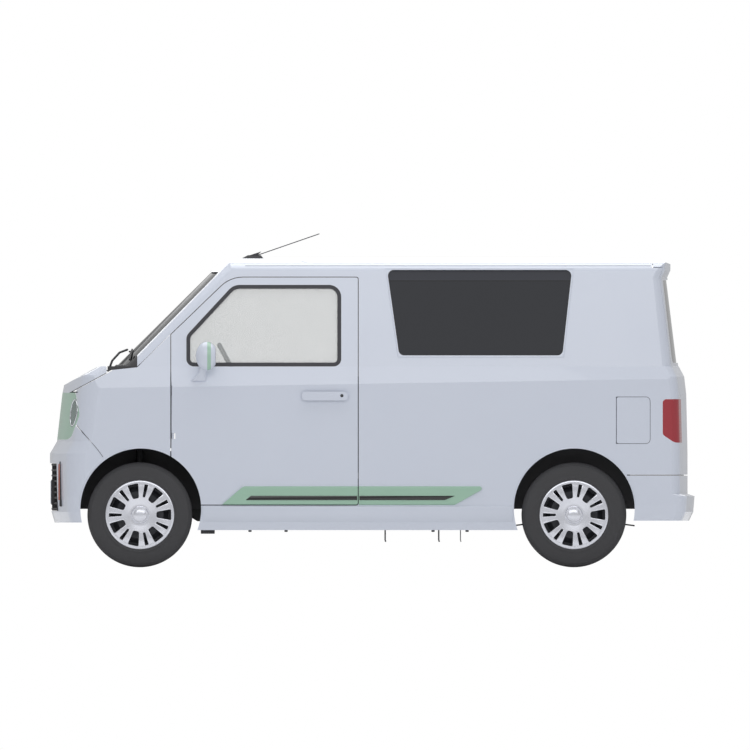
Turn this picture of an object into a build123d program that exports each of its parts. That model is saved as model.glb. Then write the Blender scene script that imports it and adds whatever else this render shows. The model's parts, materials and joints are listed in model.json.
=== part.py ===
from build123d import *
import math
import os

# Small four-wheeled electric van, in millimetres.
# X runs from the nose (-X) to the tail (+X), -Y is the left side, Z is up from the road.

# Overall size
front_x = -1750.0
rear_x = 1750.0
body_half_width = 750.0
roof_height = 1677.0

# Walls and gaps
body_wall = 40.0
bonnet_wall = 24.0
panel_gap = 5.0
seat_gap = 0.3
glass_depth = 6.0
glass_inset = 8.0

# Body levels
sill_bottom_z = 202.0
bumper_bottom_z = 243.0
sill_top_z = 338.0
belly_z = 620.0
chin_z = 684.0
belt_z = 1090.0
crease_front_z = 968.0
crease_rear_z = 1026.0
roof_edge_z = 1648.0
gutter_z = 1636.0

# Half widths at those levels
sill_half = 728.0
sill_top_half = 738.0
belly_half = 745.0
belt_half = 726.0
roof_edge_half = 638.0
roof_flat_half = 380.0
roof_edge_radius = 60.0
roof_crown_radius = 1500.0
corner_relief = 1.0

# Wheels and arches
wheelbase = 2357.0
front_axle_x = -1262.0
rear_axle_x = front_axle_x + wheelbase
tyre_radius = 285.0
tyre_width = 165.0
wheel_outer_y = 735.0
wheel_y = wheel_outer_y - tyre_width / 2
hub_z = tyre_radius
arch_radius = 328.0
arch_rise = 32.0
arch_shift_front = 5.0
arch_shift_rear = 2.0
liner_radius = 350.0
liner_wall = 4.0
liner_inner_y = 430.0

# Windscreen line, in side view
screen_base_x = -1401.0
screen_base_z = 1091.0
screen_top_x = -877.0
screen_top_z = 1610.0
screen_run = (screen_top_x - screen_base_x) / (screen_top_z - screen_base_z)
screen_slant = math.hypot(1.0, screen_run)

# Bonnet line, in side view
bonnet_nose_x = -1652.0
bonnet_nose_z = 1001.0
bonnet_top_x = -1489.0
bonnet_top_z = 1092.0

# Door outline, in side view
door_front_x = -1094.0
door_rear_x = -76.0
door_top_z = 1576.0
door_knee_z = 1265.0
door_shoulder_x = -771.0
door_shoulder_radius = 170.0
door_corner_radius = 12.0

# Door window, in side view
window_front_x = -988.0
window_rear_x = -190.0
window_bottom_z = 1112.0
window_top_z = 1512.0
window_knee_z = 1250.0
window_shoulder_x = -745.0
window_seal = 22.0

# Rear side window, in side view
side_window_bottom_z = 1150.0
side_window_top_z = 1615.0
side_window_front_low_x = 146.0
side_window_front_high_x = 80.0
side_window_rear_low_x = 1033.0
side_window_rear_high_x = 1085.0

# Front seams, in side view
lamp_bottom_z = 693.0
bonnet_lip_z = 948.0
bonnet_seam = ((-1645.0, 948.0), (-1586.0, 980.0), (-1417.0, 1071.0))
pillar_foot = (-1276.0, 1086.0)

# Tailgate and rear bumper
tailgate_bottom_z = 503.0
tailgate_low_half = 596.0
tailgate_seam_x = 1523.0
rear_bumper_front_x = 1383.0
bumper_step_z = 399.0

# Hinges
hinge_inset = 10.0
hinge_pin_radius = 3.0
hinge_barrel_radius = 6.0
hinge_bore_clearance = 0.05
hinge_height = 44.0
hinge_levels = (720.0, 960.0)
tailgate_hinge_places = (-400.0, 400.0)
bonnet_hinge_places = (-480.0, 480.0)

# Charge flap and its pocket
flap_front_x = 1326.0
flap_rear_x = 1508.0
flap_bottom_z = 673.0
flap_top_z = 924.0
flap_corner = 23.0
flap_hinge_corner = 12.0
flap_recess_hinge_corner = 3.0
flap_thickness = 12.0
flap_recess_depth = 30.0
flap_hinge_inset = 6.0
flap_half = 746.0
flap_hinge_height = 16.0
socket_flange_radius = 40.0
socket_radius = 30.0
socket_bore = 24.0

# Front lamps and grille
headlamp_radius = 76.0
headlamp_y = 600.0
headlamp_z = 839.0
grille_half = 420.0
grille_low_z = 306.0
grille_high_z = 565.0
grille_bar_pitch = 40.0
grille_rim = 30.0
grille_slot = 24.0

# Fender, trim, mirror and handle
fender_inner_half = 600.0
trim_top_z = 440.0
trim_proud = 8.0
trim_chamfer = 6.0
mirror_round = 24.0
handle_low_z = 906.0
handle_high_z = 954.0
handle_corner = 18.0

# Outline corners
screen_corner = 50.0
side_window_corner = 32.0
tail_window_corner = 40.0

# Cabin
inner_floor_z = 100.0
floor_z = 345.0
load_floor_z = 450.0
floor_sheet = 25.0
load_step_x = 560.0
firewall_x = -1150.0
rear_liner_inner_y = 545.0
column_lean = 62.0
steering_hub_low = 18.0
steering_centre = (-748.0, -340.0, 1052.0)
steering_rim_radius = 175.0
steering_grip_radius = 13.0
column_radius = 22.0
column_length = 260.0
seat_y = 340.0
seat_half = 235.0
seat_base_top_z = 480.0
cushion_front_x = -640.0
cushion_rear_x = -170.0
cushion_top_z = 610.0
cushion_round = 25.0

# Chassis, axles and springs
rail_y_low = 360.0
rail_y_high = 410.0
hub_bolt_y = 690.0
stub_radius = 14.0
stub_clearance = 0.05
axle_tube_radius = 32.0
leaf_thickness = 8.0
leaf_y_low = 470.0
leaf_y_high = 525.0
kingpin_lean = 12.0
kingpin_foot_y = 590.0
kingpin_foot_z = 190.0
# Distances up the kingpin from its foot
knuckle_low = 34.0
knuckle_high = 205.0
strut_high = 455.0
strut_radius = 22.0

# Wheel
rim_radius = 178.0
rim_half = 66.0
hub_radius = 38.0

# Reaches past the body, for cutting
side_reach = 820.0
cut_reach = 900.0
above_roof_z = 1800.0
behind_x = 1850.0
ahead_x = -1900.0


def box_between(x_low, x_high, y_low, y_high, z_low, z_high):
    """A block between two corners."""
    size = (x_high - x_low, y_high - y_low, z_high - z_low)
    middle = ((x_low + x_high) / 2, (y_low + y_high) / 2, (z_low + z_high) / 2)
    return Pos(*middle) * Box(*size)


def outline(points, radii):
    """A closed face of straight runs with rounded corners; radii is one value or one for each point."""
    if isinstance(radii, (int, float)):
        radii = [radii] * len(points)
    return make_face(FilletPolyline(*points, radius=radii, close=True))


def side_prism(face, y_near, y_far):
    """A side-view face (x, z) carried from y_near to y_far, both measured to the left of the middle."""
    return extrude(Plane.XZ.offset(y_near) * face, amount=y_far - y_near)


def rear_prism(face, x_low, x_high):
    """A face seen along X (y, z) carried from x_low to x_high."""
    return extrude(Plane.YZ.offset(x_low) * face, amount=x_high - x_low)


def side_cylinder(x, z, radius, y_near, y_far):
    """A cylinder across the car, between two distances to the left of the middle."""
    return side_prism(Pos(x, z) * Circle(radius), y_near, y_far)


def right_of(left):
    """The same piece on the right side."""
    return mirror(left, about=Plane.XZ)


def on_both_sides(left):
    """The piece and its mirror image, as solids of one node."""
    return Compound([*left.solids(), *right_of(left).solids()])


# Body envelope
# Columns: level, nose x, tail x, half width
lower_levels = (
    (sill_bottom_z, -1700.0, 1690.0, sill_half),
    (bumper_bottom_z, -1724.0, 1715.0, 731.0),
    (300.0, -1741.0, 1743.0, 735.0),
    (386.0, -1746.0, rear_x, 740.0),
    (bumper_step_z, -1746.0, 1712.0, 740.0),
    (576.0, front_x, 1712.0, belly_half),
    (618.0, front_x, 1712.0, belly_half),
    (chin_z, -1712.0, 1711.0, 747.0),
    (941.0, -1683.0, 1705.0, body_half_width),
    (1035.0, -1664.0, 1694.0, body_half_width),
    (belt_z + 2.0, -1640.0, 1664.0, 730.0),
)
nose_bow = 2500.0
nose_corner = 130.0
tail_bow = 6000.0
tail_corner = 60.0
screen_bow = 3200.0
pillar_corner = 70.0
cabin_low_z = 1080.0
cabin_lip_low_z = 1575.0
cabin_lip_z = 1612.0
cabin_high_z = 1700.0
cabin_lip_x = 1619.0


def bowed_end(end_x, bow, corner, half, way):
    """Points of a bowed end and its corner: on the bow, on the corner and on the side. way is -1 at the nose."""
    reach = math.sqrt((bow - corner) ** 2 - (half - corner) ** 2)
    corner_x = end_x - way * (bow - reach)
    turn = math.atan2(half - corner, reach)
    middle = (turn + math.pi / 2) / 2
    on_bow = (end_x - way * bow + way * bow * math.cos(turn), bow * math.sin(turn))
    on_corner = (
        corner_x + way * corner * math.cos(middle),
        half - corner + corner * math.sin(middle),
    )
    return on_bow, on_corner, (corner_x, half)


def plan_section(level, nose, tail, half, nose_shape, tail_shape):
    """A rounded plan outline at one level; each shape is a pair of bow and corner radius."""
    front = bowed_end(nose, *nose_shape, half, -1)
    back = bowed_end(tail, *tail_shape, half, 1)

    def at(point, side=1):
        return Vector(point[0], side * point[1], level)

    edges = [
        Edge.make_three_point_arc(at(front[0], -1), at((nose, 0.0)), at(front[0])),
        Edge.make_three_point_arc(at(front[0]), at(front[1]), at(front[2])),
        Edge.make_line(at(front[2]), at(back[2])),
        Edge.make_three_point_arc(at(back[2]), at(back[1]), at(back[0])),
        Edge.make_three_point_arc(at(back[0]), at((tail, 0.0)), at(back[0], -1)),
        Edge.make_three_point_arc(at(back[0], -1), at(back[1], -1), at(back[2], -1)),
        Edge.make_line(at(back[2], -1), at(front[2], -1)),
        Edge.make_three_point_arc(at(front[2], -1), at(front[1], -1), at(front[0], -1)),
    ]
    return Face(Wire(edges))


def lower_block(inset, floor_z):
    """The body below the belt: nose, flanks' corners and tail."""
    sections = []
    for level, nose, tail, half in lower_levels:
        sections.append(
            plan_section(
                floor_z if level == sill_bottom_z else level,
                nose + inset,
                tail - inset,
                half + corner_relief - inset,
                (nose_bow, nose_corner - inset),
                (tail_bow, max(tail_corner - inset, 10.0)),
            )
        )
    return loft(sections, ruled=True)


def tumblehome(level):
    """Half width of the leaning upper side at a level."""
    share = (level - belt_z) / (roof_edge_z - belt_z)
    return belt_half + (roof_edge_half - belt_half) * share


def cabin_block(inset):
    """The body above the belt: windscreen, pillars and tail."""
    tail_rise = (1602.0 - 1660.0) / (cabin_lip_low_z - 1104.0)
    rows = (
        (cabin_low_z, 1660.0 + tail_rise * (cabin_low_z - 1104.0)),
        (cabin_lip_low_z, 1602.0),
        (cabin_lip_z, cabin_lip_x),
        (cabin_high_z, cabin_lip_x),
    )
    sections = []
    for level, tail in rows:
        nose = screen_base_x + (level - screen_base_z) * screen_run
        sections.append(
            plan_section(
                level,
                nose + inset * screen_slant,
                tail - inset,
                tumblehome(level) + corner_relief - inset,
                (screen_bow, pillar_corner - inset),
                (tail_bow, max(tail_corner - inset, 10.0)),
            )
        )
    return loft(sections, ruled=True)


def flank_section(x, crease_z, inset, floor_z):
    """The body's cross-section at one end, with its shoulder crease at crease_z."""
    half = (
        (sill_half - inset, floor_z),
        (sill_top_half - inset, sill_top_z),
        (belly_half - inset, belly_z),
        (body_half_width - inset, crease_z),
        (belt_half - inset, belt_z),
        (roof_edge_half - inset, roof_edge_z - inset),
        (roof_flat_half, roof_height - inset),
    )
    radii = (0, 0, 0, 0, 0, roof_edge_radius - inset, roof_crown_radius)
    points = [*half, *((-y, z) for y, z in reversed(half))]
    return Plane.YZ.offset(x) * outline(points, [*radii, *reversed(radii)])


def flank_block(inset, floor_z):
    """The body's flanks and roof from end to end."""
    reach = 60.0
    front = flank_section(front_x - reach, crease_front_z, inset, floor_z)
    back = flank_section(rear_x + reach, crease_rear_z, inset, floor_z)
    return loft([front, back], ruled=True)


def profile_block(inset):
    """The car's side-view outline: bonnet, windscreen line, roof and its rear lip."""
    rise = (bonnet_top_z - bonnet_nose_z) / (bonnet_top_x - bonnet_nose_x)
    start_x = front_x - 100.0
    top_x = screen_base_x + (roof_height - screen_base_z) * screen_run
    points = (
        (start_x, 50.0),
        (start_x, bonnet_nose_z + rise * (start_x - bonnet_nose_x)),
        (bonnet_top_x, bonnet_top_z),
        (screen_base_x, bonnet_top_z),
        (top_x, roof_height),
        (1000.0, roof_height),
        (1560.0, roof_height - 8.0),
        (cabin_lip_x, 1646.0),
        (rear_x + 100.0, 1646.0),
        (rear_x + 100.0, 50.0),
    )
    radii = (0, 0, 120.0, 0, 290.0, 3000.0, 80.0, 0, 0, 0)
    face = outline(points, radii)
    if inset:
        face = offset(face, amount=-inset, kind=Kind.INTERSECTION)
    return side_prism(face, -body_half_width - 50.0, body_half_width + 50.0)


def nose_crown(inset):
    """Rounds the bonnet's side edges along the slope of the bonnet."""
    half = body_half_width + 4.0 - inset
    rise = (bonnet_top_z - bonnet_nose_z) / (bonnet_top_x - bonnet_nose_x)
    start_x = front_x - 100.0
    top = bonnet_nose_z + rise * (start_x - bonnet_nose_x) + 6.0 - inset
    points = ((-half, -500.0), (-half, top - 14.0), (0.0, top + 6.0), (half, top - 14.0), (half, -500.0))
    face = outline(points, (0, 90.0, 3000.0, 90.0, 0))
    run = 700.0
    return extrude(Plane.YZ.offset(start_x) * face, amount=run, dir=(1.0, 0.0, rise))


def envelope(inset, floor_z=sill_bottom_z):
    """The whole body, with every outer face moved in by inset."""
    nose = lower_block(inset, floor_z)
    front_part = nose & box_between(front_x - 50, screen_base_x + 60, -900, 900, 0, 1300)
    back_part = nose - box_between(front_x - 50, screen_base_x + 60, -900, 900, 0, 1300)
    lower = (front_part & nose_crown(inset)) + back_part
    return (lower + cabin_block(inset)) & flank_block(inset, floor_z) & profile_block(inset)


# Side-view regions
front_arch = (front_axle_x + arch_shift_front, hub_z + arch_rise)
rear_arch = (rear_axle_x + arch_shift_rear, hub_z + arch_rise)
door_points = (
    (door_front_x, sill_top_z),
    (door_front_x, door_knee_z),
    (door_shoulder_x, door_top_z),
    (door_rear_x, door_top_z),
    (door_rear_x, sill_top_z),
)
door_radii = (0, 0, door_shoulder_radius, door_corner_radius, door_corner_radius)
window_points = (
    (window_front_x, window_bottom_z),
    (window_front_x, window_knee_z),
    (window_shoulder_x, window_top_z),
    (window_rear_x, window_top_z),
    (window_rear_x, window_bottom_z),
)
window_radii = (20.0, 30.0, 60.0, 45.0, 20.0)
lamp_points = (
    (front_x - 50.0, lamp_bottom_z),
    (-1640.0, lamp_bottom_z),
    (-1588.0, 830.0),
    (-1612.0, bonnet_lip_z),
    (front_x - 50.0, bonnet_lip_z),
)
lamp_radii = (0, 40.0, 60.0, 0, 0)
bumper_points = (
    (front_x - 50.0, 100.0),
    (front_arch[0], 100.0),
    (front_arch[0], 500.0),
    (-1462.0, 599.0),
    (-1489.0, 637.0),
    (-1612.0, 772.0),
    (front_x - 50.0, 772.0),
)
fender_points = (
    (-1800.0, 760.0),
    (-1605.0, 772.0),
    (-1489.0, 637.0),
    (-1462.0, 599.0),
    (front_arch[0], 500.0),
    (front_arch[0], sill_top_z - 60.0),
    (door_front_x, sill_top_z - 60.0),
    (door_front_x, door_knee_z),
    pillar_foot,
    (-1417.0, 1071.0),
    (-1586.0, 980.0),
    (-1645.0, bonnet_lip_z),
    (-1800.0, bonnet_lip_z),
)
bonnet_rear_x = -1440.0
bonnet_points = (
    (-1800.0, bonnet_lip_z),
    *bonnet_seam,
    (-1417.0, 1150.0),
    (-1800.0, 1150.0),
)
cowl_points = (
    (bonnet_rear_x, 1058.0),
    (-1417.0, 1071.0),
    pillar_foot,
    (-1276.0, 1150.0),
    (bonnet_rear_x, 1150.0),
)
roof_points = (
    (-1000.0, 1590.0),
    (-855.0, 1590.0),
    (-790.0, gutter_z),
    (1523.0, gutter_z),
    (1523.0, 1750.0),
    (-1000.0, 1750.0),
)
side_window_points = (
    (side_window_front_low_x, side_window_bottom_z),
    (side_window_front_high_x, side_window_top_z),
    (side_window_rear_high_x, side_window_top_z),
    (side_window_rear_low_x, side_window_bottom_z),
)
screen_outline = ((-640.0, 1100.0), (-578.0, 1604.0), (578.0, 1604.0), (640.0, 1100.0))
tailgate_outline = (
    (-tailgate_low_half, tailgate_bottom_z),
    (-tailgate_low_half, 925.0),
    (-690.0, 1000.0),
    (-618.0, 1630.0),
    (-720.0, gutter_z),
    (-720.0, 1750.0),
    (720.0, 1750.0),
    (720.0, gutter_z),
    (618.0, 1630.0),
    (690.0, 1000.0),
    (tailgate_low_half, 925.0),
    (tailgate_low_half, tailgate_bottom_z),
)
tail_window_outline = ((-600.0, 1110.0), (-560.0, 1560.0), (560.0, 1560.0), (600.0, 1110.0))
tail_lamp_points = (
    (1577.0, 913.0),
    (1577.0, 720.0),
    (1640.0, 677.0),
    (1800.0, 677.0),
    (1800.0, 913.0),
)
tail_lamp_radii = (20.0, 20.0, 60.0, 0, 0)


def grown(face, amount):
    """A face with its edge moved out by amount, or in when negative."""
    return offset(face, amount=amount, kind=Kind.INTERSECTION) if amount else face


def left_region(points, radii=0, growth=0.0):
    """The left side's part of the car inside a side-view outline."""
    return side_prism(grown(outline(points, radii), growth), 0.0, side_reach)


def across_region(points, radii=0, growth=0.0):
    """The whole width of the car inside a side-view outline."""
    return side_prism(grown(outline(points, radii), growth), -side_reach, side_reach)


def arch_cutters(radius, y_near=0.0):
    """Cylinders of the left wheel arches."""
    return [side_cylinder(x, z, radius, y_near, side_reach) for x, z in (front_arch, rear_arch)]


# Hinges
# In a hinge's own frame the pin stands along Z, the moving panel starts towards +X and +Y is outward.
def hinge_frame(x, y, z, panel_way, outward):
    """The frame of a hinge with its pin through (x, y, z)."""
    pin_way = Vector(*panel_way).cross(Vector(*outward))
    return Plane(origin=(x, y, z), x_dir=panel_way, z_dir=pin_way)


def hinge_edge_cutter(frame, inset, low, high):
    """Rounds the moving panel's edge about the pin's axis, between two places along the axis."""
    corner = Pos(-inset, inset, (low + high) / 2) * Box(2 * inset, 2 * inset, high - low)
    round_bar = Pos(0, 0, (low + high) / 2) * Cylinder(inset, high - low + 2)
    return frame * (corner - round_bar)


def hinge_notch(frame, inset, place, height, depth):
    """The pocket in the moving panel round a hinge's barrel and arm."""
    web = 0.35 * inset
    low_x, high_x = -3 * inset, 1.2 * inset
    block = Pos((low_x + high_x) / 2, (inset - web - depth) / 2, place)
    return frame * (block * Box(high_x - low_x, depth + inset - web, height + 2.0))


def hinge_pin(frame, inset, place, height):
    """The pin, held at both ends in the moving panel."""
    radius = inset * hinge_pin_radius / hinge_inset
    return frame * (Pos(0, 0, place) * Cylinder(radius, height + 2.0 + 2 * radius))


def hinge_arm(frame, inset, place, height, gap):
    """The fixed barrel with its bent arm, which reaches back across the panel gap."""
    barrel = inset * hinge_barrel_radius / hinge_inset
    bore = inset * hinge_pin_radius / hinge_inset + hinge_bore_clearance
    low, high = -1.7 * inset, -1.1 * inset
    end = -inset - gap - 2.0
    neck = Pos(0, low / 2, 0) * Box(0.8 * inset, -low, height)
    strap = Pos((end + 0.4 * inset) / 2, (low + high) / 2, 0) * Box(0.4 * inset - end, high - low, height)
    solid = Cylinder(barrel, height) + neck + strap - Cylinder(bore, height + 2)
    return frame * (Pos(0, 0, place) * solid)


door_hinge = hinge_frame(
    door_front_x + panel_gap / 2 + hinge_inset, -(body_half_width - hinge_inset), 0.0, (1, 0, 0), (0, -1, 0)
)
tailgate_hinge_z = 1669.0 - hinge_inset
tailgate_hinge = hinge_frame(
    tailgate_seam_x + panel_gap / 2 + hinge_inset, 0.0, tailgate_hinge_z, (1, 0, 0), (0, 0, 1)
)
bonnet_hinge = hinge_frame(
    bonnet_rear_x - panel_gap / 2 - hinge_inset, 0.0, bonnet_top_z - hinge_inset, (-1, 0, 0), (0, 0, 1)
)
flap_middle_z = (flap_bottom_z + flap_top_z) / 2
flank_lean = math.atan2(body_half_width - belly_half, 1018.0 - belly_z)
flap_half_here = belly_half + (flap_middle_z - belly_z) * math.tan(flank_lean)
flap_hinge = hinge_frame(
    flap_front_x + flap_hinge_inset,
    -(flap_half_here - flap_hinge_inset),
    flap_middle_z,
    (1, 0, 0),
    (0, -math.cos(flank_lean), -math.sin(flank_lean)),
)
flap_hinge_reach = (flap_top_z - flap_bottom_z) / 2 - 60.0
flap_hinge_places = (-flap_hinge_reach, flap_hinge_reach)


# Body panels
def door_shell(skin):
    """The left door's closed panel, with its window and hinge pockets cut."""
    door = skin & left_region(door_points, door_radii, -panel_gap / 2)
    door -= side_cylinder(*front_arch, arch_radius, 0.0, side_reach)
    door -= left_region(window_points, window_radii, window_seal)
    door -= hinge_edge_cutter(door_hinge, hinge_inset, -1300.0, -500.0)
    for level in hinge_levels:
        door -= hinge_notch(door_hinge, hinge_inset, -level, hinge_height, body_wall + 20.0)
        door += hinge_pin(door_hinge, hinge_inset, -level, hinge_height)
    return door


def side_panel(skin, with_flap):
    """The left flank behind and above the door: pillars, cant rail, sill and rear quarter."""
    panel = skin & box_between(-1380.0, rear_x, -side_reach, 0.0, 0.0, above_roof_z)
    panel -= left_region(door_points, door_radii, panel_gap / 2)
    panel -= left_region(fender_points, 0, panel_gap / 2)
    panel -= left_region(roof_points, 0, 0.0)
    panel -= across_region(cowl_points)
    panel -= rear_prism(outline(screen_outline, screen_corner), -1500.0, -500.0)
    panel -= rear_prism(grown(outline(tailgate_outline, 0), panel_gap), tailgate_seam_x - panel_gap, behind_x)
    panel -= left_region(tail_lamp_points, tail_lamp_radii, seat_gap)
    panel -= left_region(side_window_points, side_window_corner)
    panel -= box_between(rear_bumper_front_x, behind_x, -side_reach, 0.0, 0.0, tailgate_bottom_z + seat_gap)
    for cutter in arch_cutters(arch_radius):
        panel -= cutter
    if with_flap:
        panel -= flap_recess()
        for place in flap_hinge_places:
            panel += hinge_arm(flap_hinge, flap_hinge_inset, place, flap_hinge_height, panel_gap)
    return largest(panel)


def largest(shape):
    """The biggest solid of a shape, without the offcuts of its cuts."""
    return max(shape.solids(), key=lambda solid: solid.volume)


def flap_face(growth, hinge_corner):
    """The charge flap's outline, with tighter corners beside its hinges."""
    front, rear = flap_front_x - growth, flap_rear_x + growth
    low, high = flap_bottom_z - growth, flap_top_z + growth
    points = ((front, low), (front, high), (rear, high), (rear, low))
    corner = flap_corner + growth
    return outline(points, (hinge_corner, hinge_corner, corner, corner))


def flap_recess():
    """The pocket behind the charge flap."""
    face = flap_face(panel_gap / 2, flap_recess_hinge_corner)
    return side_prism(face, flap_half - flap_recess_depth, side_reach)


def charge_flap(skin):
    """The flap, flush with the flank."""
    flap = skin & side_prism(flap_face(0.0, flap_hinge_corner), flap_half - flap_thickness, side_reach)
    edge_reach = (flap_top_z - flap_bottom_z) / 2 + 10.0
    flap -= hinge_edge_cutter(flap_hinge, flap_hinge_inset, -edge_reach, edge_reach)
    for place in flap_hinge_places:
        flap -= hinge_notch(flap_hinge, flap_hinge_inset, place, flap_hinge_height, body_wall)
        flap += hinge_pin(flap_hinge, flap_hinge_inset, place, flap_hinge_height)
    return flap


def charge_socket():
    """The charging inlet on the floor of its pocket."""
    middle = ((flap_front_x + flap_rear_x) / 2, (flap_bottom_z + flap_top_z) / 2)
    floor_y = flap_half - flap_recess_depth
    flange = side_cylinder(*middle, socket_flange_radius, floor_y, floor_y + 4.0)
    barrel = side_cylinder(*middle, socket_radius, floor_y, floor_y + 14.0)
    return flange + barrel - side_cylinder(*middle, socket_bore, floor_y + 4.0, floor_y + 20.0)


def fender(skin):
    """The left front wing, with the hinge arms of the door."""
    wing = skin & left_region(fender_points, 0, 0.0)
    wing -= across_region(bonnet_points, 0, panel_gap)
    wing -= across_region(lamp_points, lamp_radii, seat_gap)
    wing -= side_cylinder(*front_arch, arch_radius, 0.0, side_reach)
    wing -= box_between(door_front_x - panel_gap / 2, 0.0, -side_reach, 0.0, 0.0, above_roof_z)
    wing -= box_between(ahead_x, 0.0, -fender_inner_half, 0.0, 0.0, above_roof_z)
    wing = largest(wing)
    for level in hinge_levels:
        wing += hinge_arm(door_hinge, hinge_inset, -level, hinge_height, panel_gap)
    return wing


def roof_panel(skin):
    """The roof with its front header and the tailgate's hinge arms."""
    roof = skin & across_region(roof_points, 0, 0.0)
    roof -= rear_prism(outline(screen_outline, screen_corner), -1500.0, -500.0)
    roof -= box_between(tailgate_seam_x - panel_gap / 2, behind_x, -cut_reach, cut_reach, 0.0, above_roof_z)
    roof = largest(roof)
    for place in tailgate_hinge_places:
        roof += hinge_arm(tailgate_hinge, hinge_inset, place, hinge_height, panel_gap)
    return roof


def cowl_panel(skin):
    """The panel between bonnet and windscreen."""
    cowl = skin & across_region(cowl_points)
    cowl -= rear_prism(outline(screen_outline, screen_corner), -1500.0, -500.0)
    cowl -= box_between(-1500.0, bonnet_rear_x + panel_gap / 2, -cut_reach, cut_reach, 0.0, above_roof_z)
    cowl = largest(cowl)
    for place in bonnet_hinge_places:
        cowl += hinge_arm(bonnet_hinge, hinge_inset, place, hinge_height, panel_gap)
    return cowl


def bonnet(outer):
    """The short bonnet, hinged at its rear edge."""
    lid = (outer - envelope(bonnet_wall, inner_floor_z)) & across_region(bonnet_points)
    lid -= box_between(bonnet_rear_x - panel_gap / 2, 0.0, -cut_reach, cut_reach, 0.0, above_roof_z)
    lid = largest(lid)
    lid -= hinge_edge_cutter(bonnet_hinge, hinge_inset, -760.0, 760.0)
    for place in bonnet_hinge_places:
        lid -= hinge_notch(bonnet_hinge, hinge_inset, place, hinge_height, body_wall)
        lid += hinge_pin(bonnet_hinge, hinge_inset, place, hinge_height)
    return lid


def tailgate(skin):
    """The tailgate with the roof's rear lip, its window cut."""
    gate = skin & rear_prism(outline(tailgate_outline, 0), tailgate_seam_x + panel_gap / 2, behind_x)
    gate -= rear_prism(outline(tail_window_outline, tail_window_corner), 1400.0, behind_x)
    gate = largest(gate)
    gate -= hinge_edge_cutter(tailgate_hinge, hinge_inset, -760.0, 760.0)
    for place in tailgate_hinge_places:
        gate -= hinge_notch(tailgate_hinge, hinge_inset, place, hinge_height, body_wall + 20.0)
        gate += hinge_pin(tailgate_hinge, hinge_inset, place, hinge_height)
    return gate


def front_bumper(skin):
    """The front bumper, from arch to arch."""
    bumper = skin & across_region(bumper_points)
    bumper -= across_region(lamp_points, lamp_radii, seat_gap)
    bumper -= side_cylinder(*front_arch, arch_radius, -side_reach, side_reach)
    bumper -= box_between(ahead_x, -1500.0, -cut_reach, cut_reach, 0.0, bumper_bottom_z)
    bumper -= box_between(ahead_x, -1650.0, -grille_half, grille_half, grille_low_z, grille_high_z)
    return largest(bumper)


def lower_grille():
    """The bumper's grille: a frame with level bars."""
    x_low, x_high = -1712.0, -1690.0
    edge = seat_gap
    frame = box_between(
        x_low, x_high, -grille_half + edge, grille_half - edge, grille_low_z + edge, grille_high_z - edge
    )
    slot_half = grille_half - grille_rim
    rows = int((grille_high_z - grille_low_z - 40.0) / grille_bar_pitch)
    for row in range(rows):
        z = grille_low_z + 32.0 + row * grille_bar_pitch
        frame -= box_between(x_low - 1, x_high + 1, -slot_half, slot_half, z, z + grille_slot)
    return frame


def rear_bumper(skin):
    """The rear bumper, from arch to arch."""
    bumper = skin & box_between(rear_bumper_front_x, behind_x, -cut_reach, cut_reach, 0.0, tailgate_bottom_z - panel_gap)
    bumper -= side_cylinder(*rear_arch, arch_radius, -side_reach, side_reach)
    bumper -= box_between(rear_bumper_front_x, behind_x, -cut_reach, cut_reach, 0.0, bumper_bottom_z + 10.0)
    return largest(bumper)


def lamp_band(layer):
    """The coloured front panel that carries the headlamps."""
    band = pane_inside(across_region(lamp_points, lamp_radii), layer)
    for side in (-1, 1):
        band -= headlamp_bore(side, headlamp_radius + seat_gap)
    return band


def headlamp_bore(side, radius):
    """A cylinder along X at a headlamp."""
    return rear_prism(Pos(side * headlamp_y, headlamp_z) * Circle(radius), -1760.0, -1560.0)


def headlamps(layer):
    """The round headlamps, flush in the band."""
    band = across_region(lamp_points, lamp_radii)
    return on_both_sides(pane_inside(headlamp_bore(-1, headlamp_radius) & band, layer))


def tail_lamps(skin):
    """The lamps that wrap round the rear corners."""
    lamp = skin & left_region(tail_lamp_points, tail_lamp_radii)
    lamp -= box_between(1500.0, behind_x, -(tailgate_low_half + panel_gap), 0.0, 0.0, above_roof_z)
    return on_both_sides(largest(lamp))


def pane_inside(region, layer):
    """The part of a thin layer inside a region; layer holds its outer and inner envelopes."""
    return largest((layer[0] & region) - layer[1])


def windscreen(layer):
    """The bowed windscreen."""
    return pane_inside(rear_prism(grown(outline(screen_outline, screen_corner), -seat_gap), -1500.0, -500.0), layer)


def side_windows(layer):
    """The dark panes of the load space."""
    return on_both_sides(pane_inside(left_region(side_window_points, side_window_corner, -seat_gap), layer))


def window_seal_ring(layer):
    """The rubber frame round a door's glass."""
    region = left_region(window_points, window_radii, window_seal - seat_gap)
    return pane_inside(region - left_region(window_points, window_radii), layer)


def door_glass(layer):
    """A door's glass."""
    return pane_inside(left_region(window_points, window_radii, -seat_gap), layer)


def tailgate_glass(layer):
    """The tailgate's glass."""
    return pane_inside(rear_prism(grown(outline(tail_window_outline, tail_window_corner), -seat_gap), 1400.0, behind_x), layer)


# Sill trim
trim_points = ((-818.0, sill_top_z), (-700.0, trim_top_z), (628.0, trim_top_z), (446.0, sill_top_z))


def sill_trim():
    """The coloured strip along the left flank, over door and sill."""
    slope = (belly_half - sill_top_half) / (belly_z - sill_top_z)
    top_half = sill_top_half + slope * (trim_top_z - sill_top_z)
    section = outline(
        (
            (-sill_top_half, sill_top_z),
            (-sill_top_half - trim_proud, sill_top_z + trim_chamfer),
            (-top_half - trim_proud, trim_top_z - trim_chamfer),
            (-top_half, trim_top_z),
        ),
        0,
    )
    strip = rear_prism(section, -900.0, 700.0)
    return strip & left_region(trim_points, (0, 40.0, 12.0, 0))


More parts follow.
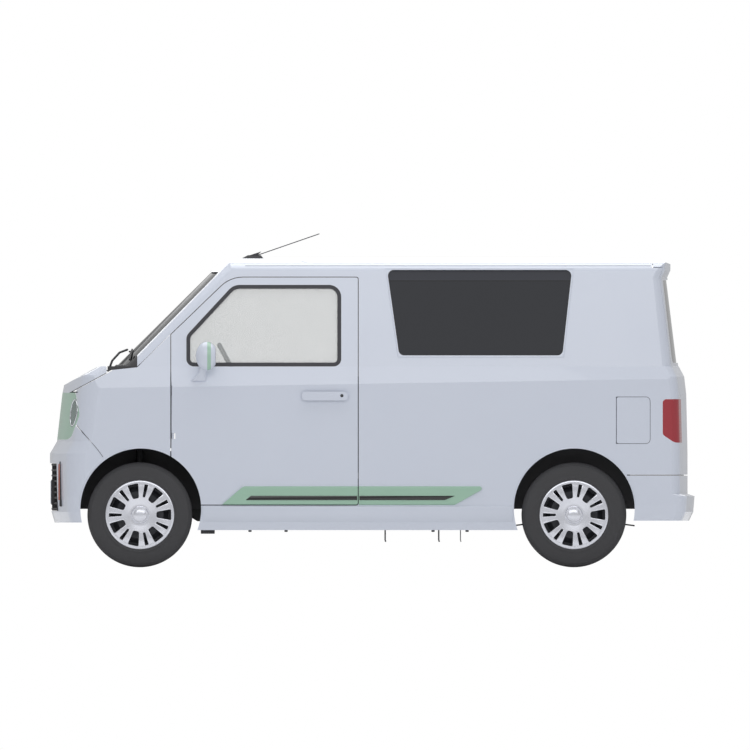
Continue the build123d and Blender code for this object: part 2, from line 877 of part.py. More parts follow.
# Mirror and handle
def door_mirror(outer):
    """The left outside mirror on its stem."""
    head = box_between(-958.0, -839.0, -870.0, -765.0, 1070.0, 1225.0)
    head = fillet(head.edges(), mirror_round)
    stem = loft(
        [
            Plane.XY.offset(1000.0) * (Pos(-943.0, -742.0) * RectangleRounded(80.0, 40.0, 15.0)),
            Plane.XY.offset(1085.0) * (Pos(-905.0, -800.0) * RectangleRounded(50.0, 34.0, 12.0)),
        ]
    )
    return largest(head + stem - outer)


def door_handle(outer):
    """The left door's pull handle."""
    bar = box_between(-382.0, -133.0, -768.0, -758.0, handle_low_z, handle_high_z)
    bar = fillet(bar.edges().filter_by(Axis.Y), handle_corner)
    for x in (-350.0, -165.0):
        bar += box_between(x - 16.0, x + 16.0, -760.0, -735.0, handle_low_z + 8.0, handle_high_z - 8.0)
    return largest(bar - outer)


# Cabin
def floor_pan(room):
    """Cabin floor, load floor, toe board and firewall in one pressing."""
    points = (
        (firewall_x, 560.0),
        (-930.0, floor_z),
        (load_step_x, floor_z),
        (load_step_x, load_floor_z),
        (1640.0, load_floor_z),
        (1640.0, load_floor_z - floor_sheet),
        (load_step_x + floor_sheet, load_floor_z - floor_sheet),
        (load_step_x + floor_sheet, floor_z - floor_sheet),
        (-936.0, floor_z - floor_sheet),
        (firewall_x - floor_sheet, 545.0),
        (firewall_x - floor_sheet, 1050.0),
        (firewall_x, 1050.0),
    )
    pan = room & across_region(points)
    for x, z in (front_arch, rear_arch):
        inner = liner_inner_y if x < 0 else rear_liner_inner_y
        cutter = side_cylinder(x, z, liner_radius + liner_wall + seat_gap, inner - liner_wall - seat_gap, side_reach)
        pan = pan - cutter - right_of(cutter)
    for base in seat_bases():
        pan += base
    return pan


def arch_liners(room):
    """The four wheel arch liners."""
    liners = []
    for (x, z), inner in ((front_arch, liner_inner_y), (rear_arch, rear_liner_inner_y)):
        hull = side_cylinder(x, z, liner_radius + liner_wall, inner - liner_wall, side_reach)
        liner = hull - side_cylinder(x, z, liner_radius, inner, side_reach + 1)
        liner = (liner & room) - box_between(ahead_x, 1900.0, -cut_reach, 0.0, 0.0, z)
        liner -= box_between(door_front_x - 11.0, 0.0, -side_reach, -689.0, 0.0, above_roof_z)
        liners.append(largest(liner))
    left = Compound(liners)
    return on_both_sides(left)


def dashboard():
    """The dashboard across the cabin, with the steering column."""
    points = (
        (firewall_x + seat_gap, 720.0),
        (firewall_x + seat_gap, 1040.0),
        (-1010.0, 1085.0),
        (-920.0, 1060.0),
        (-890.0, 960.0),
        (-960.0, 880.0),
        (-960.0, 740.0),
    )
    board = side_prism(outline(points, (0, 0, 30.0, 30.0, 20.0, 20.0, 20.0)), -675.0, 675.0)
    depth = steering_hub_low + seat_gap + column_length / 2
    column = steering_frame * (Pos(0, 0, -depth) * Cylinder(column_radius, column_length))
    return board + column


steering_frame = Plane(
    origin=steering_centre,
    x_dir=(0.0, 1.0, 0.0),
    z_dir=(math.cos(math.radians(90 - column_lean)), 0.0, math.sin(math.radians(90 - column_lean))),
)


def steering_wheel():
    """The steering wheel with its three spokes."""
    rim = Torus(steering_rim_radius, steering_grip_radius)
    hub = Pos(0, 0, 12.0 - steering_hub_low) * Cylinder(42.0, 24.0)
    wheel = rim + hub
    for turn in (0.0, 180.0, 270.0):
        wheel += Rot(0, 0, turn) * (Pos(105.0, 0, -4.0) * Box(130.0, 30.0, 8.0))
    return steering_frame * wheel


seat_back_points = (
    (cushion_rear_x + seat_gap, seat_base_top_z),
    (cushion_rear_x + seat_gap, cushion_top_z),
    (-105.0, 1075.0),
    (-15.0, 1065.0),
    (-55.0, seat_base_top_z),
)
seat_back_radii = (12.0, 60.0, 35.0, 40.0, 12.0)


def seat_cushions():
    """The two seat cushions."""
    cushion = box_between(
        cushion_front_x, cushion_rear_x, -seat_y - seat_half, -seat_y + seat_half, seat_base_top_z, cushion_top_z
    )
    return on_both_sides(fillet(cushion.edges(), cushion_round))


def seat_backs():
    """The two low seat backs."""
    back = side_prism(outline(seat_back_points, seat_back_radii), seat_y - seat_half + 10, seat_y + seat_half - 10)
    return on_both_sides(back)


def seat_bases():
    """The pedestals under the seats, part of the floor."""
    base = box_between(-600.0, -60.0, -seat_y - 200.0, -seat_y + 200.0, floor_z - 1.0, seat_base_top_z - seat_gap)
    return [base, right_of(base)]


# Chassis
rail_top_low_z = floor_z - floor_sheet - seat_gap
rail_top_high_z = load_floor_z - floor_sheet - seat_gap
rail_points = (
    (-1640.0, 330.0),
    (-1640.0, 400.0),
    (-1070.0, 400.0),
    (-940.0, rail_top_low_z),
    (590.0, rail_top_low_z),
    (760.0, rail_top_high_z),
    (1640.0, rail_top_high_z),
    (1640.0, 364.0),
    (790.0, 364.0),
    (640.0, 250.0),
    (-950.0, 250.0),
    (-1080.0, 330.0),
)
# Columns: x, low z, high z
crossmembers = (
    (-1600.0, 340.0, 390.0),
    (-1262.0, 335.0, 395.0),
    (-860.0, 255.0, 310.0),
    (540.0, 260.0, 314.0),
    (1400.0, 370.0, 420.0),
    (1610.0, 370.0, 420.0),
)


def chassis_frame():
    """The ladder frame."""
    rail = side_prism(outline(rail_points, 0), rail_y_low, rail_y_high)
    frame = rail + right_of(rail)
    for x, low, high in crossmembers:
        frame += box_between(x - 25.0, x + 25.0, -rail_y_low - 1, rail_y_low + 1, low, high)
    return frame


def battery_box():
    """The traction battery under the cabin floor."""
    box = box_between(-780.0, 480.0, -rail_y_low + 5, rail_y_low - 5, 205.0, floor_z - floor_sheet - seat_gap)
    return fillet(box.edges().filter_by(Axis.Z), 20.0)


def rear_axle():
    """The driven rear axle with its motor and gear case."""
    at = (rear_axle_x, hub_z)
    tube = side_cylinder(*at, axle_tube_radius, -590.0, 590.0)
    stubs = side_cylinder(*at, stub_radius, -hub_bolt_y, hub_bolt_y)
    case = side_cylinder(*at, 95.0, -60.0, 60.0)
    motor = side_cylinder(rear_axle_x, hub_z, 90.0, -290.0, -60.0)
    return tube + stubs + case + motor


# Columns: half length of each leaf
leaves = (330.0, 230.0, 130.0)


def leaf_springs():
    """The rear leaf springs, under the axle tube."""
    top = hub_z - axle_tube_radius - seat_gap
    bow = 2400.0
    pack = None
    for row, reach in enumerate(leaves):
        high = bow - row * leaf_thickness
        ring = Circle(high) - Circle(high - leaf_thickness)
        ring = Pos(rear_axle_x, top - bow) * ring
        leaf = side_prism(ring, leaf_y_low, leaf_y_high)
        leaf &= box_between(rear_axle_x - reach, rear_axle_x + reach, -900.0, 0.0, 100.0, 400.0)
        pack = leaf if pack is None else pack + leaf
    return on_both_sides(pack)


# Front suspension
kingpin_frame = Plane(
    origin=(front_axle_x, -kingpin_foot_y, kingpin_foot_z),
    x_dir=(1.0, 0.0, 0.0),
    z_dir=(0.0, math.sin(math.radians(kingpin_lean)), math.cos(math.radians(kingpin_lean))),
)
def knuckle():
    """The left knuckle with its stub axle."""
    upright = Pos(0, 0, (knuckle_low + knuckle_high) / 2) * Box(56.0, 30.0, knuckle_high - knuckle_low)
    body = kingpin_frame * upright
    stub = side_cylinder(front_axle_x, hub_z, stub_radius, 565.0, hub_bolt_y)
    flange = side_cylinder(front_axle_x, hub_z, 34.0, 565.0, 596.0)
    return body + stub + flange


def struts():
    """The struts above the knuckles."""
    low, high = knuckle_high + seat_gap, strut_high
    strut = kingpin_frame * (Pos(0, 0, (low + high) / 2) * Cylinder(strut_radius, high - low))
    return on_both_sides(strut)


def front_arms():
    """The lower arms, hung from the frame."""
    front, rear = front_axle_x - 30.0, front_axle_x + 30.0
    arm = box_between(front, rear, -kingpin_foot_y - 20.0, -330.0, 186.0, 206.0)
    post = box_between(front, rear, -rail_y_low, -330.0, 186.0, 334.7)
    return on_both_sides(arm + post)


# Wheels
def tyre(y):
    """A tyre with rounded shoulders."""
    half = tyre_width / 2
    points = (
        (rim_radius + seat_gap, -rim_half),
        (rim_radius + seat_gap, rim_half),
        (195.0, half - 6.0),
        (240.0, half),
        (272.0, half - 8.0),
        (tyre_radius, half - 26.0),
        (tyre_radius, -half + 26.0),
        (272.0, -half + 8.0),
        (240.0, -half),
        (195.0, -half + 6.0),
    )
    face = Plane.XY * outline(points, 0)
    return Pos(0, -y, hub_z) * revolve(face, Axis.Y)


def road_wheel(y):
    """A pressed wheel with its hub, dish and rim."""
    points = (
        (stub_radius + stub_clearance, -50.0),
        (hub_radius, -50.0),
        (hub_radius, 14.0),
        (120.0, 14.0),
        (150.0, -20.0),
        (162.0, -20.0),
        (170.0, -rim_half),
        (rim_radius, -rim_half),
        (rim_radius, rim_half),
        (172.0, rim_half),
        (166.0, 0.0),
        (155.0, 0.0),
        (128.0, 24.0),
        (hub_radius, 24.0),
        (stub_radius + stub_clearance, 24.0),
    )
    wheel = revolve(Plane.XY * outline(points, 0), Axis.Y)
    return Pos(0, -y, hub_z) * (Rot(0, 0, 180.0) * wheel)


# Roof aerial
def aerial():
    """The roof aerial: a moulded foot and its leaning rod."""
    foot = loft(
        [
            Plane.XY.offset(roof_height) * (Pos(-650.0, 0.0) * RectangleRounded(120.0, 44.0, 20.0)),
            Plane.XY.offset(roof_height + 18.0) * (Pos(-640.0, 0.0) * RectangleRounded(70.0, 24.0, 10.0)),
        ]
    )
    rod_start = Vector(-640.0, 0.0, roof_height + 12.0)
    rod_end = Vector(-287.0, 0.0, 1811.0)
    way = rod_end - rod_start
    rod = Plane(origin=rod_start, z_dir=way) * Pos(0, 0, way.length / 2) * Cylinder(2.5, way.length)
    return foot + rod


def build():
    """All sub-parts by node name."""
    outer = envelope(0.0)
    wall = (outer, envelope(body_wall, inner_floor_z))
    skin = wall[0] - wall[1]
    pane = (envelope(glass_inset), envelope(glass_inset + glass_depth, inner_floor_z))
    seal_skin = (envelope(1.0), envelope(22.0, inner_floor_z))
    room = envelope(body_wall + seat_gap, inner_floor_z)
    parts = {}

    def add_pair(name, left):
        parts[f"{name}_left"] = left
        parts[f"{name}_right"] = right_of(left)

    door = door_shell(skin)
    door_space = left_region(door_points, door_radii, -panel_gap / 2)
    trim = sill_trim()
    add_pair("door", largest(door))
    add_pair("door_seal", window_seal_ring(seal_skin))
    add_pair("door_glass", door_glass(pane))
    add_pair("door_mirror", door_mirror(outer))
    add_pair("door_handle", door_handle(outer))
    add_pair("door_trim", trim & door_space)
    parts["side_panel_left"] = side_panel(skin, True)
    parts["side_panel_right"] = right_of(side_panel(skin, False))
    add_pair("fender", fender(skin))
    parts["sill_trims"] = on_both_sides(trim & box_between(door_rear_x + panel_gap / 2, 900.0, -900.0, 0.0, 0.0, 600.0))
    parts["roof_panel"] = roof_panel(skin)
    parts["cowl_panel"] = cowl_panel(skin)
    parts["bonnet"] = bonnet(outer)
    parts["tailgate"] = tailgate(skin)
    parts["tailgate_glass"] = tailgate_glass(pane)
    parts["windscreen"] = windscreen(pane)
    parts["side_windows"] = side_windows(pane)
    parts["front_bumper"] = front_bumper(skin)
    parts["lower_grille"] = lower_grille()
    parts["lamp_band"] = lamp_band(wall)
    parts["headlamps"] = headlamps(wall)
    parts["rear_bumper"] = rear_bumper(skin)
    parts["tail_lamps"] = tail_lamps(skin)
    parts["charge_flap"] = charge_flap(skin)
    parts["charge_socket"] = charge_socket()
    parts["floor_pan"] = floor_pan(room)
    parts["arch_liners"] = arch_liners(room)
    parts["dashboard"] = dashboard()
    parts["steering_wheel"] = steering_wheel()
    parts["seat_cushions"] = seat_cushions()
    parts["seat_backs"] = seat_backs()
    parts["chassis_frame"] = chassis_frame()
    parts["battery_box"] = battery_box()
    parts["rear_axle"] = rear_axle()
    parts["leaf_springs"] = leaf_springs()
    parts["struts"] = struts()
    parts["front_arms"] = front_arms()
    add_pair("knuckle", knuckle())
    for end, x in (("front", front_axle_x), ("rear", rear_axle_x)):
        add_pair(f"tyre_{end}", Pos(x, 0, 0) * tyre(wheel_y))
        add_pair(f"wheel_{end}", Pos(x, 0, 0) * road_wheel(wheel_y))
    parts["aerial"] = aerial()
    return parts


os.makedirs("parts", exist_ok=True)
for name, shape in build().items():
    export_step(shape, f"parts/{name}.step")
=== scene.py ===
"""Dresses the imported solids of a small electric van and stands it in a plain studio."""
import json
import logging
import math
from dataclasses import dataclass
from enum import Enum

import bpy
from mathutils import Matrix, Vector


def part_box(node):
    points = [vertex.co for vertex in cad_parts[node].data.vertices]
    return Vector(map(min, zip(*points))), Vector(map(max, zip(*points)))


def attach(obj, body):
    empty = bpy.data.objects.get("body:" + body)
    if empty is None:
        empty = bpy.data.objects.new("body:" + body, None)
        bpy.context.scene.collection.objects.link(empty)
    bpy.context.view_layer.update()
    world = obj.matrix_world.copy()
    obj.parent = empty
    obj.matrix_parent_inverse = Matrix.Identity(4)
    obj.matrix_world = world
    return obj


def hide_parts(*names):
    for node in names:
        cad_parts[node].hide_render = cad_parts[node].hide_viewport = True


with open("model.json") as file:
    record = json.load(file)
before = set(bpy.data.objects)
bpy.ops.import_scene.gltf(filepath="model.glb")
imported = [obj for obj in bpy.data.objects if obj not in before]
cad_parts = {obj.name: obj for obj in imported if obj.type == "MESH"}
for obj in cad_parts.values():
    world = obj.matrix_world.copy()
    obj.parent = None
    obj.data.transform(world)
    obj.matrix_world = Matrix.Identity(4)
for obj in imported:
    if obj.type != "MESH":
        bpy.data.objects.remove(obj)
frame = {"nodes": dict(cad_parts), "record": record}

log = logging.getLogger("van")

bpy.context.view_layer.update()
MM = 0.001

# The photograph's frame: its size, the middle of its picture and the scale of the car's left flank
PICTURE_SIZE = 750
PICTURE_SCALE = 5.43 * MM
PICTURE_MIDDLE_X = 0.0149
PICTURE_MIDDLE_Z = 1.0442


def linear(code: str) -> tuple[float, float, float, float]:
    """Turns an sRGB hex colour into linear values.

    Args:
        code: Six hex digits, with or without a leading mark.

    Returns:
        Red, green, blue and a full alpha.
    """
    code = code.lstrip("#")
    shares = [int(code[i : i + 2], 16) / 255 for i in (0, 2, 4)]
    values = [s / 12.92 if s <= 0.04045 else ((s + 0.055) / 1.055) ** 2.4 for s in shares]
    return (*values, 1.0)


def add_node(
    tree: bpy.types.NodeTree,
    kind: str,
    settings: dict[str, object] | None = None,
    inputs: dict[str, object] | None = None,
) -> bpy.types.Node:
    """Adds one shader node.

    Args:
        tree: The material's or world's node tree.
        kind: The node's type name.
        settings: Properties of the node itself.
        inputs: A value or an output socket for each named input.

    Returns:
        The new node.
    """
    node = tree.nodes.new(kind)
    for name, value in (settings or {}).items():
        setattr(node, name, value)
    for name, value in (inputs or {}).items():
        if isinstance(value, bpy.types.NodeSocket):
            tree.links.new(value, node.inputs[name])
        else:
            node.inputs[name].default_value = value
    return node


@dataclass(frozen=True)
class Zone:
    """A band of another colour on a finish, between two places along an axis, in millimetres."""

    axis: str
    low: float
    high: float
    colour: str


@dataclass(frozen=True)
class Finish:
    """A surface finish: its colour, gloss and the pattern that its making leaves."""

    name: str
    colour: str
    shade: str
    roughness: float
    roughness_spread: float = 0.05
    grain_mm: float = 2.0
    bump_mm: float = 0.02
    cloud_mm: float = 300.0
    metallic: float = 0.0
    ior: float = 1.5
    coat: float = 0.0
    transmission: float = 0.0
    zones: tuple[Zone, ...] = ()

    def build(self) -> bpy.types.Material:
        """Makes the material, or gives the one made before."""
        made = bpy.data.materials.get(self.name)
        if made:
            return made
        material = bpy.data.materials.new(self.name)
        material.use_nodes = True
        tree = material.node_tree
        shader = tree.nodes["Principled BSDF"]
        if not self.metallic:
            shader.inputs["IOR"].default_value = self.ior
        shader.inputs["Metallic"].default_value = self.metallic
        shader.inputs["Coat Weight"].default_value = self.coat
        shader.inputs["Coat Roughness"].default_value = 0.03
        shader.inputs["Transmission Weight"].default_value = self.transmission
        self.pattern(tree, shader)
        return material

    def pattern(self, tree: bpy.types.NodeTree, shader: bpy.types.Node) -> None:
        """Gives the shader its clouded colour, uneven gloss and fine relief."""
        place = add_node(tree, "ShaderNodeTexCoord").outputs["Object"]
        cloud = add_node(
            tree, "ShaderNodeTexNoise", None, {"Vector": place, "Scale": 1000 / self.cloud_mm, "Detail": 3.0}
        )
        mix = add_node(
            tree,
            "ShaderNodeMix",
            {"data_type": "RGBA"},
            {"Factor": cloud.outputs["Fac"], "A": linear(self.colour), "B": linear(self.shade)},
        )
        tree.links.new(self.zoned(tree, shader, place, mix_colour(mix)), shader.inputs["Base Color"])
        gloss = add_node(
            tree,
            "ShaderNodeMapRange",
            None,
            {
                "Value": cloud.outputs["Fac"],
                "From Min": 0.3,
                "From Max": 0.7,
                "To Min": self.roughness - self.roughness_spread / 2,
                "To Max": self.roughness + self.roughness_spread / 2,
            },
        )
        tree.links.new(gloss.outputs["Result"], shader.inputs["Roughness"])
        grain = self.grain(tree, place)
        bump = add_node(
            tree, "ShaderNodeBump", None, {"Height": grain, "Distance": self.bump_mm * MM, "Strength": 1.0}
        )
        tree.links.new(bump.outputs["Normal"], shader.inputs["Normal"])

    def zoned(
        self,
        tree: bpy.types.NodeTree,
        shader: bpy.types.Node,
        place: bpy.types.NodeSocket,
        colour: bpy.types.NodeSocket,
    ) -> bpy.types.NodeSocket:
        """Paints the finish's bands over its colour, and makes them solid on glass.

        Args:
            tree: The material's node tree.
            shader: The material's main shader.
            place: The object coordinates.
            colour: The colour under the bands.

        Returns:
            The colour with the bands on it.
        """
        if not self.zones:
            return colour
        split = add_node(tree, "ShaderNodeSeparateXYZ", None, {"Vector": place})
        covered = None
        for zone in self.zones:
            spot = split.outputs[zone.axis]
            over = add_node(tree, "ShaderNodeMath", {"operation": "GREATER_THAN"}, {0: spot, 1: zone.low * MM})
            under = add_node(tree, "ShaderNodeMath", {"operation": "LESS_THAN"}, {0: spot, 1: zone.high * MM})
            mask = add_node(
                tree, "ShaderNodeMath", {"operation": "MULTIPLY"}, {0: over.outputs[0], 1: under.outputs[0]}
            )
            inputs = {"Factor": mask.outputs[0], "A": colour, "B": linear(zone.colour)}
            colour = mix_colour(add_node(tree, "ShaderNodeMix", {"data_type": "RGBA"}, inputs))
            if covered is not None:
                mask = add_node(
                    tree, "ShaderNodeMath", {"operation": "MAXIMUM"}, {0: covered.outputs[0], 1: mask.outputs[0]}
                )
            covered = mask
        if self.transmission:
            clear = add_node(
                tree, "ShaderNodeMath", {"operation": "SUBTRACT", "use_clamp": True}, {0: self.transmission}
            )
            tree.links.new(covered.outputs[0], clear.inputs[1])
            tree.links.new(clear.outputs[0], shader.inputs["Transmission Weight"])
        return colour

    def grain(self, tree: bpy.types.NodeTree, place: bpy.types.NodeSocket) -> bpy.types.NodeSocket:
        """Gives the height of the surface's fine relief."""
        noise = add_node(
            tree, "ShaderNodeTexNoise", None, {"Vector": place, "Scale": 1000 / self.grain_mm, "Detail": 2.0}
        )
        return noise.outputs["Fac"]


def mix_colour(node: bpy.types.Node) -> bpy.types.NodeSocket:
    """The colour output of a colour mix node."""
    return next(socket for socket in node.outputs if socket.type == "RGBA")


# Baked enamel with clear lacquer over it: an even, bright film with the faint orange peel of spraying
BODY_ENAMEL = Finish("body_enamel", "#CED4E1", "#CBD1DF", 0.34, 0.04, 3.0, 0.004, coat=0.6)
# Satin lacquer on moulded plastic: soft gloss with a slight clouding
GREEN_LACQUER = Finish("green_lacquer", "#9CBFAB", "#97BAA6", 0.36, 0.05, 2.5, 0.006, coat=0.3)
# Moulded plastic, grained in the tool: dull black
BLACK_PLASTIC = Finish("black_plastic", "#222326", "#1E1F21", 0.55, 0.1, 1.0, 0.05, 90.0)
# Gloss black film over plastic: dark, with a clear highlight
GLOSS_BLACK = Finish("gloss_black", "#17181A", "#141517", 0.18, 0.04, 4.0, 0.004, 90.0, coat=0.5)
# Silver paint on moulded covers: fine flakes that scatter the light
SILVER_PAINT = Finish("silver_paint", "#E4E6EE", "#DCDEE7", 0.24, 0.06, 0.8, 0.006, 80.0, metallic=0.85)
# Vulcanised rubber: dull, with fine pits from the mould
TYRE_RUBBER = Finish("tyre_rubber", "#0C0C0E", "#0A0A0B", 0.85, 0.1, 1.2, 0.06, 60.0, ior=1.12)
# Extruded rubber: dark and smooth with a low sheen; also on the strips sunk into panel seams, where its dark is
# painted shade for the shadow inside them
SEAL_RUBBER = Finish("seal_rubber", "#2B2D34", "#282A30", 0.55, 0.1, 1.0, 0.02, 50.0)
# Sprayed primer on pressed steel: mid grey with an uneven gloss
WHEEL_STEEL = Finish("wheel_primer", "#4A4C52", "#3E4046", 0.5, 0.15, 1.5, 0.03, 60.0, metallic=0.3)
# Plated plastic: a mirror that is slightly uneven
CHROME = Finish("plated_plastic", "#D8DADF", "#D0D2D8", 0.12, 0.04, 20.0, 0.004, 60.0, metallic=1.0)
# Woven polyester: dark threads that scatter the light
SEAT_CLOTH = Finish("seat_cloth", "#3A3B40", "#303136", 0.85, 0.1, 1.6, 0.2, 90.0)
# Dark red clear plastic with black bars between its cells and a deeper red front edge
RED_LENS = Finish(
    "red_lens", "#6E2024", "#5E1B1F", 0.15, 0.05, 6.0, 0.01, 60.0, coat=0.8,
    zones=(
        Zone("X", 1560.0, 1592.0, "#4A1518"),
        Zone("Z", 748.0, 758.0, "#240D0F"),
        Zone("Z", 828.0, 838.0, "#240D0F"),
        Zone("Z", 660.0, 690.0, "#240D0F"),
    ),
)
# Tinted laminated glass with a black ceramic border: dark seen along its surface
SCREEN_GLASS = Finish(
    "screen_glass", "#34363A", "#323438", 0.03, 0.01, 30.0, 0.0, ior=1.02, transmission=0.7,
    zones=(
        Zone("Y", -900.0, -430.0, "#131416"),
        Zone("Y", 430.0, 900.0, "#131416"),
        Zone("Z", 0.0, 1150.0, "#131416"),
        Zone("Z", 1556.0, 1700.0, "#131416"),
    ),
)
# Privacy glass: so dark that it mostly shows what it mirrors, with a paler band along its top that is a painted
# reflection of the light from above
SIDE_GLASS = Finish(
    "privacy_glass", "#22242A", "#202228", 0.06, 0.02, 30.0, 0.001, ior=1.35,
    zones=(Zone("Z", 1555.0, 1700.0, "#2E3038"), Zone("Z", 1553.0, 1558.0, "#16171A")),
)
# Enamelled shell with a green band round it and a dark glass side
MIRROR_ENAMEL = Finish(
    "mirror_enamel", "#CED4E1", "#CBD1DF", 0.34, 0.04, 3.0, 0.004, coat=0.6,
    zones=(
        Zone("X", -896.0, -876.0, "#9CBFAB"),
        Zone("X", -851.0, -800.0, "#1E1F21"),
    ),
)
FINISH_OF_SLOT = {
    "body_white": BODY_ENAMEL,
    "trim_green": GREEN_LACQUER,
    "wheel_silver": WHEEL_STEEL,
    "tyre_rubber": TYRE_RUBBER,
    "seal_rubber": SEAL_RUBBER,
    # Float glass, lightly tinted
    "clear_glass": Finish("clear_glass", "#E4E8E6", "#E2E7E5", 0.02, 0.01, 30.0, 0.001, transmission=1.0),
    "dark_glass": SIDE_GLASS,
    # Dark clear plastic over the lamps: deep and glossy
    "lamp_lens": Finish("lamp_lens", "#4E5F5A", "#45554F", 0.1, 0.04, 8.0, 0.01, 40.0, coat=0.8),
    "red_lens": RED_LENS,
    # Translucent orange plastic: matt at its edges
    "orange_lens": Finish("orange_lens", "#A5594A", "#A05545", 0.2, 0.05, 5.0, 0.01, 40.0, coat=0.5),
    "seat_cloth": SEAT_CLOTH,
    "black_plastic": BLACK_PLASTIC,
    # Rolled floor paint: flat grey
    "floor_grey": Finish("floor_paint", "#4A4C50", "#424448", 0.6, 0.1, 1.5, 0.05, 120.0),
    # Dipped chassis paint: black with an uneven gloss
    "steel_black": Finish("chassis_paint", "#1E1F21", "#1A1B1D", 0.5, 0.14, 2.0, 0.06, 80.0),
}
FINISH_OF_NODE = {"windscreen": SCREEN_GLASS}


@dataclass
class Solids:
    """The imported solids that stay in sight, each with the finish of its material slot."""

    record: dict

    def dress(self) -> None:
        """Puts each slot's finish on the nodes that have it."""
        for row in self.record["subparts"]:
            node = frame["nodes"][row["node"]]
            finish = FINISH_OF_NODE.get(row["node"], FINISH_OF_SLOT[row["material_slot"]])
            material = finish.build()
            for slot in node.material_slots:
                slot.material = material
            log.info("dressed %s in %s", node.name, material.name)


def only(piece: bpy.types.Object) -> None:
    """Selects one object alone and makes it active."""
    bpy.ops.object.select_all(action="DESELECT")
    piece.select_set(True)
    bpy.context.view_layer.objects.active = piece


def meshed(name: str, points: list[Vector], edges: list[tuple], faces: list[tuple]) -> bpy.types.Object:
    """Makes a mesh object from places in millimetres and selects it.

    Args:
        name: The object's name.
        points: Its corners.
        edges: Pairs of corners.
        faces: Rings of corners.

    Returns:
        The object.
    """
    mesh = bpy.data.meshes.new(name)
    mesh.from_pydata([tuple(value * MM for value in point) for point in points], edges, faces)
    piece = bpy.data.objects.new(name, mesh)
    bpy.context.scene.collection.objects.link(piece)
    only(piece)
    return piece


def cleaned() -> None:
    """Merges the edited mesh's doubles and turns its faces outward."""
    bpy.ops.mesh.select_all(action="SELECT")
    bpy.ops.mesh.remove_doubles(threshold=0.01 * MM)
    bpy.ops.mesh.normals_make_consistent(inside=False)
    bpy.ops.object.mode_set(mode="OBJECT")


def spun(name: str, profile: list[tuple[float, float]], steps: int) -> bpy.types.Object:
    """Turns a closed profile about the Y axis.

    Args:
        name: The object's name.
        profile: Radius and place along Y of each corner, in millimetres.
        steps: Flats round the turn.

    Returns:
        The turned solid, centred on the origin.
    """
    points = [(radius, along, 0.0) for radius, along in profile]
    edges = [(i, (i + 1) % len(points)) for i in range(len(points))]
    piece = meshed(name, points, edges, [])
    bpy.ops.object.mode_set(mode="EDIT")
    bpy.ops.mesh.select_all(action="SELECT")
    bpy.ops.mesh.spin(steps=steps, angle=math.tau, center=(0, 0, 0), axis=(0, 1, 0))
    cleaned()
    return piece


def plate(
    name: str, points: list[tuple[float, float]], low: float, high: float, corner: float = 0.0
) -> bpy.types.Object:
    """Raises a side-view outline (x, z) into a plate between two places along Y.

    Args:
        name: The object's name.
        points: The outline's corners, in millimetres.
        low: The lower Y.
        high: The higher Y.
        corner: The rounding of the outline's corners.

    Returns:
        The plate.
    """
    piece = meshed(name, [(x, low, z) for x, z in points], [], [tuple(range(len(points)))])
    bpy.ops.object.mode_set(mode="EDIT")
    bpy.ops.mesh.select_all(action="SELECT")
    if corner:
        bpy.ops.mesh.bevel(offset=corner * MM, segments=4, affect="VERTICES")
        bpy.ops.mesh.select_all(action="SELECT")
    bpy.ops.mesh.extrude_region_move(TRANSFORM_OT_translate={"value": (0, (high - low) * MM, 0)})
    cleaned()
    return piece


def block(name: str, low: tuple, high: tuple, round_mm: float = 3.0) -> bpy.types.Object:
    """A block between two corners with rounded edges, in millimetres."""
    piece = plate(name, [(low[0], low[2]), (high[0], low[2]), (high[0], high[2]), (low[0], high[2])], low[1], high[1])
    softened(piece, round_mm)
    return piece


def softened(piece: bpy.types.Object, width: float, segments: int = 2) -> None:
    """Rounds a piece's sharp edges and smooths what is nearly flat."""
    only(piece)
    bevel = piece.modifiers.new("edge", "BEVEL")
    bevel.width = width * MM
    bevel.segments = segments
    bevel.limit_method = "ANGLE"
    bevel.angle_limit = math.radians(35)
    bpy.ops.object.modifier_apply(modifier=bevel.name)
    bpy.ops.object.shade_smooth_by_angle(angle=math.radians(35))


def bead(name: str, points: list[Vector], radius: float, closed: bool = False) -> bpy.types.Object:
    """A round bar along a line, made a mesh.

    Args:
        name: The object's name.
        points: The line's points, in millimetres.
        radius: The bar's radius.
        closed: Whether the line comes back to its start.

    Returns:
        The bar.
    """
    line = bpy.data.curves.new(name, "CURVE")
    line.dimensions = "3D"
    spline = line.splines.new("POLY")
    spline.points.add(len(points) - 1)
    for slot, point in zip(spline.points, points):
        slot.co = (*(value * MM for value in point), 1.0)
    spline.use_cyclic_u = closed
    line.bevel_depth = radius * MM
    line.bevel_resolution = 2
    line.use_fill_caps = not closed
    piece = bpy.data.objects.new(name, line)
    bpy.context.scene.collection.objects.link(piece)
    only(piece)
    bpy.ops.object.convert(target="MESH")
    bpy.ops.object.shade_smooth_by_angle(angle=math.radians(50))
    return bpy.context.object


def joined(name: str, pieces: list[bpy.types.Object]) -> bpy.types.Object:
    """Joins loose pieces into one object."""
    only(pieces[0])
    for piece in pieces:
        piece.select_set(True)
    bpy.ops.object.join()
    pieces[0].name = name
    return pieces[0]


def cut(piece: bpy.types.Object, cutter: bpy.types.Object) -> None:
    """Takes a cutter out of a piece and deletes it."""
    only(piece)
    change = piece.modifiers.new("cut", "BOOLEAN")
    change.operation = "DIFFERENCE"
    change.solver = "EXACT"
    change.object = cutter
    bpy.ops.object.modifier_apply(modifier=change.name)
    bpy.data.objects.remove(cutter)


def copied(piece: bpy.types.Object, name: str, change: Matrix) -> bpy.types.Object:
    """A copy with its own mesh, moved in its mesh; a mirrored one has its faces turned back."""
    twin = bpy.data.objects.new(name, piece.data.copy())
    twin.data.transform(change)
    if change.determinant() < 0:
        twin.data.flip_normals()
    bpy.context.scene.collection.objects.link(twin)
    return twin


MIRRORED = Matrix.Scale(-1, 4, (0, 1, 0))


